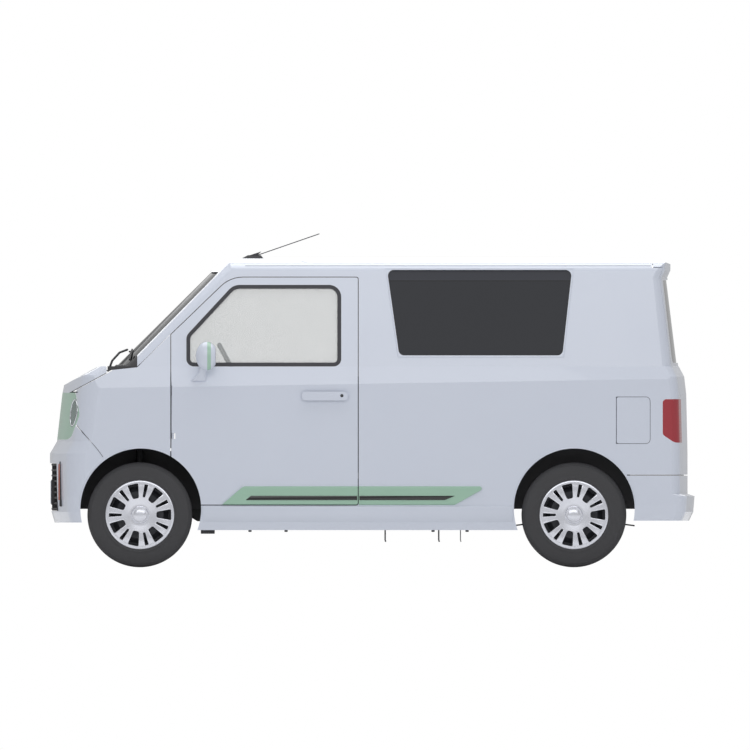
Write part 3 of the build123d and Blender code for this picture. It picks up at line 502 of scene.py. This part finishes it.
def fitted(piece: bpy.types.Object, finish: Finish, slot: str, body: str, *nodes: str) -> bpy.types.Object:
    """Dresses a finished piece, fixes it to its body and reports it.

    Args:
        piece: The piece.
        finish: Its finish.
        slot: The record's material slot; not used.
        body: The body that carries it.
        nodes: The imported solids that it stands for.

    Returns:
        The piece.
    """
    piece.data.materials.clear()
    piece.data.materials.append(finish.build())
    for face in piece.data.polygons:
        face.material_index = 0
    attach(piece, body)
    if nodes:
        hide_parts(*nodes)
    log.info("%s rides on %s, %d faces", piece.name, body, len(piece.data.polygons))
    return piece


def both_sides(piece: bpy.types.Object, name: str, finish: Finish, slot: str, bodies: tuple[str, str]) -> None:
    """Fits a left piece and its mirror image, each on its own body."""
    twin = copied(piece, f"{name}_right", MIRRORED)
    piece.name = f"{name}_left"
    fitted(piece, finish, slot, bodies[0])
    fitted(twin, finish, slot, bodies[1])


def rounded(corners: list[tuple[float, float, float]], steps: int = 6) -> list[tuple[float, float]]:
    """Rounds a closed outline's corners.

    Args:
        corners: Each corner's x, z and radius, in millimetres.
        steps: Points on each rounded corner.

    Returns:
        The outline's points.
    """
    points = []
    for i, (x, z, radius) in enumerate(corners):
        here = Vector((x, z))
        if not radius:
            points.append((x, z))
            continue
        back = (Vector(corners[i - 1][:2]) - here).normalized()
        ahead = (Vector(corners[(i + 1) % len(corners)][:2]) - here).normalized()
        half = back.angle(ahead) / 2
        middle = here + (back + ahead).normalized() * (radius / math.sin(half))
        start = here + back * (radius / math.tan(half)) - middle
        end = here + ahead * (radius / math.tan(half)) - middle
        first = math.atan2(start.y, start.x)
        sweep = (math.atan2(end.y, end.x) - first + math.pi) % math.tau - math.pi
        for step in range(steps + 1):
            turn = first + sweep * step / steps
            points.append((middle.x + radius * math.cos(turn), middle.y + radius * math.sin(turn)))
    return points


# Columns: height and half width of the flank, in millimetres
FLANK = ((202.0, 728.0), (338.0, 738.0), (620.0, 745.0), (1000.0, 750.0), (1090.0, 726.0), (1648.0, 638.0))


def flank(level: float) -> float:
    """The flank's half width at a height, in millimetres."""
    for (low, near), (high, far) in zip(FLANK, FLANK[1:]):
        if level <= high:
            return near + (far - near) * (level - low) / (high - low)
    return FLANK[-1][1]


def skin_y(x: float, z: float) -> float:
    """Where a line from the left first meets the car, in millimetres."""
    graph = bpy.context.evaluated_depsgraph_get()
    hit, place, *_ = bpy.context.scene.ray_cast(graph, (x * MM, -2.0, z * MM), (0, 1, 0))
    return place.y / MM if hit else -flank(z)


def skin_z(x: float, y: float) -> float:
    """Where a line from above first meets the car, in millimetres."""
    graph = bpy.context.evaluated_depsgraph_get()
    _, place, *_ = bpy.context.scene.ray_cast(graph, (x * MM, y * MM, 3.0), (0, 0, -1))
    return place.z / MM


def along(points: list[tuple[float, float]], pitch: float) -> list[tuple[float, float]]:
    """Divides an open side-view line into short runs."""
    line = [points[0]]
    for (x0, z0), (x1, z1) in zip(points, points[1:]):
        runs = max(1, round(math.hypot(x1 - x0, z1 - z0) / pitch))
        line += [(x0 + (x1 - x0) * i / runs, z0 + (z1 - z0) * i / runs) for i in range(1, runs + 1)]
    return line


@dataclass
class Wheels:
    """The four tyres and the silver covers with seven double spokes."""

    front_x: float = -1262.0
    rear_x: float = 1095.0
    centre_y: float = -652.5
    hub_z: float = 285.0
    rim_face: float = 66.0
    spoke_pairs: int = 7
    first_pair: float = 12.5
    steps: int = 112
    window_half_turn: float = 10.2
    window_reach: tuple[float, float] = (90.0, 170.0)
    slot_reach: tuple[float, float] = (98.0, 168.0)
    slot_half: tuple[float, float] = (6.5, 10.5)

    def tyre(self) -> bpy.types.Object:
        """A tyre with four grooves round its tread and a rib on each wall."""
        half = [
            (285.0, 0.0), (285.0, 6.0), (278.0, 7.0), (278.0, 14.0), (285.0, 15.0), (285.0, 30.0),
            (278.0, 31.0), (278.0, 37.0), (285.0, 38.0), (284.5, 50.0), (281.0, 62.0), (274.0, 70.0),
            (266.0, 75.5), (264.0, 78.5), (258.0, 80.0), (240.0, 82.4), (216.0, 81.5), (203.0, 79.5),
            (201.0, 80.5), (196.0, 79.0), (188.0, 73.0), (180.0, 68.0), (178.3, 62.0),
        ]
        profile = half + [(radius, -along_y) for radius, along_y in reversed(half[1:])]
        piece = spun("tyre", profile, self.steps)
        bpy.ops.object.shade_smooth_by_angle(angle=math.radians(40))
        return piece

    def cutter(self, turn: float, reach: tuple, half: tuple, corner: float) -> bpy.types.Object:
        """A tapering cutter from the hub outward.

        Args:
            turn: Its direction from the top, in degrees clockwise seen from the left.
            reach: Its inner and outer radius.
            half: Half its width at each of them.
            corner: The rounding of its corners.

        Returns:
            The cutter.
        """
        way = Vector((math.sin(math.radians(turn)), math.cos(math.radians(turn))))
        side = Vector((way.y, -way.x))
        corners = [way * reach[i] + side * half[i] * s for i, s in ((0, -1), (0, 1), (1, 1), (1, -1))]
        return plate("cutter", [tuple(c) for c in corners], -60.0, 60.0, corner)

    def cover(self) -> bpy.types.Object:
        """A moulded cover: a ring, seven pairs of spokes and a domed hub."""
        profile = [
            (0.0, -15.0), (16.0, -14.0), (30.0, -11.0), (36.0, -7.0), (40.0, -10.0), (44.0, -10.0), (48.0, -4.0),
            (62.0, -5.5), (90.0, -10.0), (130.0, -13.0), (160.0, -12.5), (172.0, -10.5), (178.0, -11.5),
            (186.0, -9.0), (188.0, -4.0), (187.0, -0.5), (172.0, -3.0), (130.0, -6.0), (60.0, 1.0), (0.0, 1.0),
        ]
        piece = spun("wheel_cover", profile, self.steps)
        cutters = []
        pitch = 360.0 / self.spoke_pairs
        half_turn = math.tan(math.radians(self.window_half_turn))
        for pair in range(self.spoke_pairs):
            turn = self.first_pair + pair * pitch
            cutters.append(self.cutter(turn, self.slot_reach, self.slot_half, 4.0))
            widths = tuple(radius * half_turn for radius in self.window_reach)
            cutters.append(self.cutter(turn + pitch / 2, self.window_reach, widths, 9.0))
        cut(piece, joined("cutters", cutters))
        softened(piece, 1.4)
        return piece

    def build(self) -> None:
        """Sets a tyre and a cover on each wheel."""
        tyre, cover = self.tyre(), self.cover()
        half_turn = Matrix.Rotation(math.pi, 4, "Z")
        for end, x in (("front", self.front_x), ("rear", self.rear_x)):
            for side, sign in (("left", 1), ("right", -1)):
                place = Matrix.Translation(Vector((x, sign * self.centre_y, self.hub_z)) * MM)
                turned = place if sign > 0 else place @ half_turn
                body = f"wheel_{end}_{side}"
                ring = copied(tyre, f"tread_{end}_{side}", turned)
                fitted(ring, TYRE_RUBBER, "tyre_rubber", body, f"tyre_{end}_{side}")
                face = copied(cover, f"cover_{end}_{side}", turned @ Matrix.Translation((0, -self.rim_face * MM, 0)))
                fitted(face, SILVER_PAINT, "wheel_silver", body)
        bpy.data.objects.remove(tyre)
        bpy.data.objects.remove(cover)


@dataclass
class DoorGaps:
    """Dark rubber strips that lie in the gaps round the doors and the charge flap; round the doors they are partly the
    real seal, and their dark is painted shade for the shadow down inside each gap.
    """

    strip_radius: float = 2.2
    strip_depth: float = 4.0
    probe: float = 9.0
    door_middle: tuple[float, float] = (-585.0, 950.0)
    door: tuple = (
        (-1094.0, 338.0, 0.0), (-1094.0, 1265.0, 0.0), (-771.0, 1576.0, 170.0), (-76.0, 1576.0, 12.0),
        (-76.0, 338.0, 12.0),
    )
    arch: tuple[float, float] = (-1257.0, 317.0)
    arch_radius: float = 330.0
    flap: tuple = ((1326.0, 673.0), (1326.0, 924.0), (1508.0, 924.0), (1508.0, 673.0))
    flap_gap: float = 1.25

    def build(self) -> None:
        """Lays the strips."""
        turned = [self.door[-1], *self.door[:-1]]
        line = along([*rounded(turned), rounded(turned)[0]], 60.0)
        clear = [p for p in line if math.dist(p, self.arch) > self.arch_radius]
        start = next(i for i, p in enumerate(line) if math.dist(p, self.arch) <= self.arch_radius)
        clear = [p for p in line[start:] + line[:start] if p in clear]
        middle_x, middle_z = self.door_middle
        points = []
        for x, z in clear:
            reach = math.hypot(x - middle_x, z - middle_z)
            out_x, out_z = (x - middle_x) / reach * self.probe, (z - middle_z) / reach * self.probe
            points.append((x, skin_y(x + out_x, z + out_z) + self.strip_depth, z))
        strip = bead("door_gap_strip", points, self.strip_radius)
        both_sides(strip, "door_gap_strip", SEAL_RUBBER, "seal_rubber", ("body", "body"))
        gap = self.flap_gap
        (x0, z0), (_, z1), (x1, _), _ = self.flap
        ring = rounded([(x0 - gap, z0 - gap, 6.0), (x0 - gap, z1 + gap, 6.0), (x1 + gap, z1 + gap, 24.0),
                        (x1 + gap, z0 - gap, 24.0)])
        strip = bead("flap_gap_strip", [(x, -(flank(z) - 8.0), z) for x, z in ring], 1.0, True)
        fitted(strip, SEAL_RUBBER, "seal_rubber", "body")


@dataclass
class BodyTrim:
    """Lines and small trim on the flanks: gutter, bumper seam, window lip, black inlay and lock."""

    inlay: tuple = ((-687.0, 365.0), (-659.0, 388.0), (449.0, 388.0), (395.0, 365.0))
    door_gap: tuple[float, float] = (-82.0, -70.0)
    trim_proud: float = 8.0
    lip_radius: float = 332.0
    lip_start: float = 6.0
    lip_steps: int = 48
    arch_middles: tuple = (("front", -1257.0), ("rear", 1097.0))
    arch_z: float = 317.0
    door_front_x: float = -1100.0
    sill_reach: tuple[float, float] = (-922.0, 762.0)
    sill_section: tuple = ((-738.0, 334.0), (-743.5, 330.0), (-742.0, 283.0), (-732.0, 246.0), (-729.0, 246.0))

    def line(
        self,
        name: str,
        points: list,
        radius: float,
        finish: Finish,
        slot: str,
        sink: float = 0.0,
        probe: float = 0.0,
    ) -> None:
        """A thin line that follows the flank's surface, on both sides.

        Args:
            name: The pieces' name.
            points: The line's corners in side view.
            radius: Its half thickness.
            finish: Its finish.
            slot: The record's slot.
            sink: How far its middle lies under the surface.
            probe: How far above the line the surface is looked for.
        """
        places = [(x, skin_y(x, z + probe) + sink, z) for x, z in along(points, 40.0)]
        both_sides(bead(name, places, radius), name, finish, slot, ("body", "body"))

    def inlay_half(self, name: str, low_x: float, high_x: float, bodies: tuple[str, str]) -> None:
        """The black inlay between two places along the car, on one pair of bodies."""
        piece = plate(name, list(self.inlay), -(740.0 + self.trim_proud + 1.2), -(740.0 + self.trim_proud - 4.0))
        only(piece)
        bpy.ops.object.mode_set(mode="EDIT")
        for x, way in ((low_x, -1), (high_x, 1)):
            bpy.ops.mesh.select_all(action="SELECT")
            bpy.ops.mesh.bisect(
                plane_co=(x * MM, 0, 0), plane_no=(way, 0, 0), clear_outer=True, use_fill=True
            )
        cleaned()
        softened(piece, 1.0)
        both_sides(piece, name, GLOSS_BLACK, "black_plastic", bodies)

    def arch_lips(self) -> None:
        """The rolled lips of the wheel arches; the front one is cut at the door's edge."""
        for end, middle in self.arch_middles:
            places = []
            for step in range(self.lip_steps + 1):
                turn = math.radians(self.lip_start + (180.0 - 2 * self.lip_start) * step / self.lip_steps)
                x = middle - self.lip_radius * math.cos(turn)
                z = self.arch_z + self.lip_radius * math.sin(turn)
                if end == "rear" or x < self.door_front_x:
                    places.append((x, skin_y(x, z) + 1.0, z))
            name = f"arch_lip_{end}"
            both_sides(bead(name, places, 4.0), name, BODY_ENAMEL, "body_white", ("body", "body"))

    def sill_covers(self) -> None:
        """The stepped sills between the arches: an upright face over a face that leans in."""
        front, rear = self.sill_reach
        places = [(front, y, z) for y, z in self.sill_section]
        piece = meshed("sill", places, [], [tuple(range(len(places)))])
        bpy.ops.object.mode_set(mode="EDIT")
        bpy.ops.mesh.select_all(action="SELECT")
        run = (rear - front) * MM
        bpy.ops.mesh.extrude_region_move(TRANSFORM_OT_translate={"value": (run, 0, 0)})
        cleaned()
        softened(piece, 1.5)
        both_sides(piece, "sill_cover", BODY_ENAMEL, "body_white", ("body", "body"))

    def build(self) -> None:
        """Makes the lines and the small trim."""
        grey = Finish("seam_shadow", "#6E7078", "#686A72", 0.6, 0.1, 2.0, 0.01)
        self.line("roof_gutter", [(-690.0, 1637.0), (1512.0, 1637.0)], 1.5, grey, "seal_rubber")
        self.line("bumper_seam", [(-1600.0, 768.0), (-1489.0, 637.0), (-1462.0, 599.0)], 1.6, grey, "seal_rubber")
        # The dark rubber strips sunk into the rear bumper, bonnet, pillar and bumper seams are painted shade: they
        # stand in for the shadow down inside each seam.
        self.line(
            "rear_bumper_seam", [(1392.0, 500.5), (1690.0, 500.5)], 2.0, SEAL_RUBBER, "seal_rubber", 3.0, 9.0
        )
        self.line(
            "bonnet_seam_strip", [(-1630.0, 954.0), (-1586.0, 978.0), (-1444.0, 1055.0)], 2.0, SEAL_RUBBER,
            "seal_rubber", 4.0, -14.0,
        )
        self.line(
            "pillar_seam_strip", [(-1283.0, 1082.0), (-1100.0, 1265.0)], 2.2, SEAL_RUBBER, "seal_rubber", 4.0, -9.0
        )
        self.line(
            "bumper_seam_strip", [(-1604.0, 770.0), (-1464.0, 598.0)], 1.6, SEAL_RUBBER, "seal_rubber", 4.0, -9.0
        )
        self.arch_lips()
        self.sill_covers()
        self.line(
            "window_lip", [(1092.0, 1622.0), (73.0, 1622.0), (140.0, 1143.0), (1039.0, 1143.0), (1092.0, 1622.0)],
            2.5, BODY_ENAMEL, "body_white",
        )
        self.inlay_half("inlay_door", -700.0, self.door_gap[0], ("door_left", "door_right"))
        self.inlay_half("inlay_sill", self.door_gap[1], 460.0, ("body", "body"))
        lock = spun("door_lock", [(0.0, -2.0), (7.0, -2.0), (9.0, 0.0), (9.0, 6.0), (0.0, 6.0)], 32)
        lock.data.transform(Matrix.Translation(Vector((-165.0, -768.0, 932.0)) * MM))
        both_sides(lock, "door_lock", BLACK_PLASTIC, "black_plastic", ("door_left", "door_right"))


@dataclass
class Mirrors:
    """The egg-shaped door mirrors on their flaring stems, and the aerial's wedge foot."""

    middle: tuple[float, float, float] = (-899.0, -818.0, 1147.0)
    radii: tuple[float, float, float] = (59.0, 51.0, 78.0)
    glass_x: float = -850.0
    rim_width: float = 7.0
    rim_depth: float = 5.0
    stem_sides: int = 24
    # Each ring of the stem: its middle's x, y and z, then its half length and half width
    stem_rings: tuple = (
        (-943.0, -744.0, 1012.0, 43.0, 12.0),
        (-925.0, -768.0, 1048.0, 22.0, 13.0),
        (-912.0, -792.0, 1090.0, 20.0, 14.0),
    )
    foot_outline: tuple = (
        (-702.0, 1668.0), (-680.0, 1690.0), (-600.0, 1716.0), (-618.0, 1700.0), (-650.0, 1668.0),
    )
    foot_half: float = 13.0

    def head(self) -> bpy.types.Object:
        """The left shell: an egg cut flat behind, with its glass sunk into a rim.

        Returns:
            The shell.
        """
        bpy.ops.object.select_all(action="DESELECT")
        bpy.ops.mesh.primitive_uv_sphere_add(segments=48, ring_count=24, radius=1.0)
        head = bpy.context.object
        scale = Matrix.Diagonal((*(radius * MM for radius in self.radii), 1.0))
        head.data.transform(Matrix.Translation(Vector(self.middle) * MM) @ scale)
        bpy.ops.object.mode_set(mode="EDIT")
        bpy.ops.mesh.select_all(action="SELECT")
        place = (self.glass_x * MM, 0, 0)
        bpy.ops.mesh.bisect(plane_co=place, plane_no=(1, 0, 0), clear_outer=True, use_fill=True)
        bpy.ops.mesh.select_all(action="DESELECT")
        bpy.ops.object.mode_set(mode="OBJECT")
        for face in head.data.polygons:
            face.select = face.normal.x > 0.999
        bpy.ops.object.mode_set(mode="EDIT")
        bpy.ops.mesh.inset(thickness=self.rim_width * MM)
        bpy.ops.mesh.extrude_region_move(TRANSFORM_OT_translate={"value": (-self.rim_depth * MM, 0, 0)})
        cleaned()
        bpy.ops.object.shade_smooth_by_angle(angle=math.radians(40))
        return head

    def stem(self) -> bpy.types.Object:
        """The left stem, which flares towards the door.

        Returns:
            The stem.
        """
        points, faces, count = [], [], self.stem_sides
        for x, y, z, long, wide in self.stem_rings:
            for step in range(count):
                turn = math.tau * step / count
                points.append((x + long * math.cos(turn), y + wide * math.sin(turn), z))
        last = len(self.stem_rings) - 1
        for ring in range(last):
            for step in range(count):
                a, b = ring * count + step, ring * count + (step + 1) % count
                faces.append((a, b, b + count, a + count))
        faces += [tuple(range(count)), tuple(range(last * count, (last + 1) * count))]
        stem = meshed("stem", points, [], faces)
        bpy.ops.object.mode_set(mode="EDIT")
        cleaned()
        bpy.ops.object.shade_smooth_by_angle(angle=math.radians(50))
        return stem

    def build(self) -> None:
        """Makes the mirrors and the foot."""
        mirror = joined("mirror_shell_left", [self.head(), self.stem()])
        twin = copied(mirror, "mirror_shell_right", MIRRORED)
        fitted(mirror, MIRROR_ENAMEL, "body_white", "door_left", "door_mirror_left")
        fitted(twin, MIRROR_ENAMEL, "body_white", "door_right", "door_mirror_right")
        foot = plate("aerial_foot", list(self.foot_outline), -self.foot_half, self.foot_half)
        softened(foot, 5.0)
        fitted(foot, BLACK_PLASTIC, "black_plastic", "body")


@dataclass
class LampTrim:
    """Rings round the headlamps, the bumper's slots, its orange strips and the blank plates."""

    lamp_y: float = -600.0
    lamp_z: float = 839.0
    slot: tuple[float, float] = (-1699.0, -1681.0)
    bar_levels: tuple[int, int, int] = (318, 560, 30)
    bar_reach: tuple[int, int, int] = (-412, 413, 33)
    bar_x: float = -1737.0
    rib_x: float = -1731.0
    rib_places: tuple[int, int, int] = (-360, 361, 120)
    rib_levels: tuple[float, float] = (308.0, 563.0)
    grille_bow: float = 5000.0
    gap_shade_x: float = -1663.0
    gap_shade_z: float = 951.0
    gap_shade_bow: float = 6700.0

    def grille(self) -> None:
        """The bowed bars and ribs of the lower grille, and the holder of the plate."""
        bars = []
        for level in range(*self.bar_levels):
            arc = [(self.bar_x + y * y / self.grille_bow, float(y), float(level)) for y in range(*self.bar_reach)]
            bars.append(bead("bar", arc, 6.0))
        bottom, top = self.rib_levels
        for y in range(*self.rib_places):
            x = self.rib_x + y * y / self.grille_bow
            bars.append(block("rib", (x - 8.0, y - 5.0, bottom), (x + 20.0, y + 5.0, top), 2.0))
        fitted(joined("grille_bars", bars), BLACK_PLASTIC, "black_plastic", "body")
        holder = block("plate_holder", (-1743.0, -260.0, 339.0), (-1712.0, 260.0, 477.0), 4.0)
        fitted(holder, BLACK_PLASTIC, "black_plastic", "body")

    def nose_gap_shade(self) -> None:
        """A rubber strip in the gap between the bonnet's front edge and the lamp band; its dark is painted shade for
        the shadow inside the gap.
        """
        places = [(self.gap_shade_x + y * y / self.gap_shade_bow, float(y), self.gap_shade_z) for y in range(-630, 631, 35)]
        fitted(bead("nose_gap_shade", places, 3.2), SEAL_RUBBER, "seal_rubber", "body")

    def build(self) -> None:
        """Makes the rings, slots and plates."""
        ring_y, ring_z = self.lamp_y, self.lamp_z
        places = []
        for step in range(48):
            turn = math.tau * step / 48
            y, z = ring_y + 70.0 * math.cos(turn), ring_z + 70.0 * math.sin(turn)
            graph = bpy.context.evaluated_depsgraph_get()
            _, place, *_ = bpy.context.scene.ray_cast(graph, (-3.0, y * MM, z * MM), (1, 0, 0))
            places.append((place.x / MM, y, z))
        both_sides(bead("headlamp_ring", places, 4.0, True), "headlamp_ring", CHROME, "wheel_silver", ("body", "body"))
        x0, x1 = self.slot
        side = skin_y((x0 + x1) / 2, 453.0)
        slot = block("bumper_slot", (x0, side - 2.0, 330.0), (x1, side + 25.0, 576.0), 6.0)
        both_sides(slot, "bumper_slot", BLACK_PLASTIC, "black_plastic", ("body", "body"))
        strip = block("bumper_lamp", (x0 - 6.0, side - 1.0, 365.0), (x0 + 5.0, side + 20.0, 562.0), 3.0)
        orange = FINISH_OF_SLOT["orange_lens"]
        both_sides(strip, "bumper_lamp", orange, "red_lens", ("body", "body"))
        self.grille()
        self.nose_gap_shade()
        plate_low, plate_high = (-1747.0, -240.0, 345.0), (-1743.0, 240.0, 471.0)
        blank = block("front_plate", plate_low, plate_high, 2.0)
        fitted(blank, BODY_ENAMEL, "body_white", "body")


@dataclass
class Wipers:
    """Two wipers at rest at the foot of the windscreen."""

    feet: tuple[float, float] = (-470.0, 90.0)
    blade: float = 420.0

    def build(self) -> None:
        """Makes each arm with its blade."""
        for number, foot in enumerate(self.feet, 1):
            base = (-1424.0, foot, 1090.0)
            arm = [base, (-1412.0, foot, 1122.0), (-1372.0, foot + 60.0, 1166.0), (-1330.0, foot + 170.0, 1182.0)]
            ends = []
            for step in range(9):
                y = foot - 60.0 + self.blade * step / 8
                x = -1318.0 + 14.0 * step / 8
                ends.append((x, y, skin_z(x, y) + 9.0))
            piece = joined(f"wiper_{number}", [bead("arm", arm, 6.0), bead("blade", ends, 5.0)])
            fitted(piece, BLACK_PLASTIC, "black_plastic", "body")


@dataclass
class Underbody:
    """What hangs below the sills: brackets, bolts and thin drain pipes."""

    pipes: tuple = ((70.0, 4.0), (361.0, 4.0), (479.0, 2.5))
    bolts: tuple = (-664.0, -468.0, 330.0, 515.0)

    def build(self) -> None:
        """Makes the brackets, bolts and pipes on both sides."""
        parts = [block("jack_bracket", (-931.0, -700.0, 182.0), (-855.0, -640.0, 204.0), 3.0)]
        for x, radius in self.pipes:
            parts.append(bead("pipe", [(x, -690.0, 206.0), (x, -690.0, 150.0), (x + 3.0, -690.0, 138.0)], radius))
        for x in self.bolts:
            parts.append(block("bolt", (x - 9.0, -705.0, 192.0), (x + 9.0, -687.0, 203.0), 3.0))
        both_sides(joined("sill_fixings", parts), "sill_fixings", BLACK_PLASTIC, "steel_black", ("body", "body"))


@dataclass
class SeatPads:
    """The cloth cushions and backs of the two seats."""

    seat_y: float = -340.0
    half_width: float = 235.0
    slack: float = 14.0
    cap: float = 12.0
    voxel: float = 9.0
    channel_depth: float = 6.0
    channel_width: float = 8.0
    channels: tuple[float, float] = (-110.0, 110.0)

    def swelled(self, piece: bpy.types.Object) -> None:
        """Swells a closed shape like a filled cover and caps how far it moves."""
        only(piece)
        remesh = piece.modifiers.new("skin", "REMESH")
        remesh.mode = "VOXEL"
        remesh.voxel_size = self.voxel * MM
        bpy.ops.object.modifier_apply(modifier=remesh.name)
        rest = [vertex.co.copy() for vertex in piece.data.vertices]
        cloth = piece.modifiers.new("cloth", "CLOTH")
        cloth.settings.use_pressure = True
        cloth.settings.uniform_pressure_force = 4.0
        cloth.settings.effector_weights.gravity = 0.0
        cloth.point_cache.frame_start = 1
        cloth.point_cache.frame_end = 20
        scene = bpy.context.scene
        for number in range(1, 21):
            scene.frame_set(number)
        bpy.ops.object.modifier_apply(modifier=cloth.name)
        scene.frame_set(1)
        for vertex, start in zip(piece.data.vertices, rest):
            way = vertex.co - start
            if way.length > self.cap * MM:
                vertex.co = start + way.normalized() * self.cap * MM
        for vertex in piece.data.vertices:
            across = vertex.co.y / MM - self.seat_y
            near = max(math.exp(-(((across - place) / self.channel_width) ** 2)) for place in self.channels)
            vertex.co -= vertex.normal * near * self.channel_depth * MM
        smooth = piece.modifiers.new("smooth", "SUBSURF")
        smooth.levels = smooth.render_levels = 1
        bpy.ops.object.modifier_apply(modifier=smooth.name)
        bpy.ops.object.shade_smooth()

    def build(self) -> None:
        """Makes the left cushion and back, and their twins on the right."""
        near, far = self.seat_y - self.half_width + self.slack, self.seat_y + self.half_width - self.slack
        low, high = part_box("seat_cushions")
        s = self.slack
        cushion = block(
            "cushion",
            (low[0] / MM + s, near, low[2] / MM + 2.0),
            (high[0] / MM - s, far, high[2] / MM - s),
            30.0,
        )
        back_outline = [(-156.0, 495.0), (-156.0, 606.0), (-96.0, 1052.0), (-32.0, 1044.0), (-70.0, 495.0)]
        back = plate("back", back_outline, near + 10.0, far - 10.0)
        softened(back, 22.0)
        for name, piece, node in (("cushion", cushion, "seat_cushions"), ("backrest", back, "seat_backs")):
            self.swelled(piece)
            twin = copied(piece, f"{name}_right", MIRRORED)
            piece.name = f"{name}_left"
            for pad in (piece, twin):
                fitted(pad, SEAT_CLOTH, "seat_cloth", "body", node)


class Light(Enum):
    """The studio's lamps: place, width, depth and power."""

    TOP = ((0.0, 0.0, 5.2), (7.0, 5.0), 215.0)
    NEAR = ((0.0, -6.5, 3.4), (8.0, 3.0), 84.0)
    FAR = ((0.0, 6.5, 3.4), (8.0, 3.0), 84.0)


@dataclass
class Studio:
    """A pale floor, soft lamps, a pale background and the camera."""

    floor_size: float = 60.0
    floor_drop: float = 0.0005
    ambient: float = 0.5

    def build_floor(self) -> None:
        """Lays the floor just under the tyres."""
        bpy.ops.object.select_all(action="DESELECT")
        bpy.ops.mesh.primitive_plane_add(size=self.floor_size, location=(0, 0, -self.floor_drop))
        floor = bpy.context.object
        floor.name = "studio_floor"
        bpy.ops.object.transform_apply(location=True, rotation=True, scale=True)
        material = bpy.data.materials.new("pale_floor")
        material.use_nodes = True
        tree = material.node_tree
        shader = tree.nodes["Principled BSDF"]
        shader.inputs["Base Color"].default_value = linear("#F4F4F4")
        shader.inputs["Roughness"].default_value = 0.9
        floor.data.materials.append(material)

    def build_world(self) -> None:
        """Lights the car softly from all round, and shows white to the camera and through glass."""
        world = bpy.data.worlds.new("studio")
        bpy.context.scene.world = world
        world.use_nodes = True
        tree = world.node_tree
        path = add_node(tree, "ShaderNodeLightPath")
        seen = add_node(
            tree,
            "ShaderNodeMath",
            {"operation": "MAXIMUM"},
            {0: path.outputs["Is Camera Ray"], 1: path.outputs["Is Transmission Ray"]},
        )
        level = add_node(
            tree,
            "ShaderNodeMapRange",
            None,
            {"Value": seen.outputs[0], "To Min": self.ambient, "To Max": 1.0},
        )
        background = tree.nodes["Background"]
        background.inputs["Color"].default_value = (1.0, 1.0, 1.0, 1.0)
        tree.links.new(level.outputs["Result"], background.inputs["Strength"])

    def build_lamps(self) -> None:
        """Hangs the broad lamps."""
        for lamp in Light:
            place, (width, depth), power = lamp.value
            data = bpy.data.lights.new(f"lamp_{lamp.name.lower()}", "AREA")
            data.shape = "RECTANGLE"
            data.size = width
            data.size_y = depth
            data.energy = power
            holder = bpy.data.objects.new(data.name, data)
            holder.location = place
            aim = Vector((0.0, 0.0, 0.7)) - Vector(place)
            holder.rotation_euler = aim.to_track_quat("-Z", "Y").to_euler()
            bpy.context.scene.collection.objects.link(holder)

    def build_camera(self) -> None:
        """Looks square at the left flank, as the photograph does."""
        data = bpy.data.cameras.new("camera")
        data.type = "ORTHO"
        data.ortho_scale = PICTURE_SIZE * PICTURE_SCALE
        camera = bpy.data.objects.new("camera", data)
        camera.location = (PICTURE_MIDDLE_X, -12.0, PICTURE_MIDDLE_Z)
        camera.rotation_euler = (math.radians(90), 0.0, 0.0)
        bpy.context.scene.collection.objects.link(camera)
        bpy.context.scene.camera = camera
        bpy.context.scene.view_settings.view_transform = "Standard"

    def build(self) -> None:
        """Sets up the whole studio."""
        self.build_floor()
        self.build_world()
        self.build_lamps()
        self.build_camera()
        log.info("studio ready")


def main() -> None:
    """Dresses the car and stands it in the studio."""
    logging.basicConfig(level=logging.INFO, format="%(name)s: %(message)s")
    Solids(frame["record"]).dress()
    for assembly in (Wheels(), DoorGaps(), BodyTrim(), Mirrors(), LampTrim(), Wipers(), Underbody(), SeatPads()):
        assembly.build()
    Studio().build()


if __name__ == "__main__":
    main()
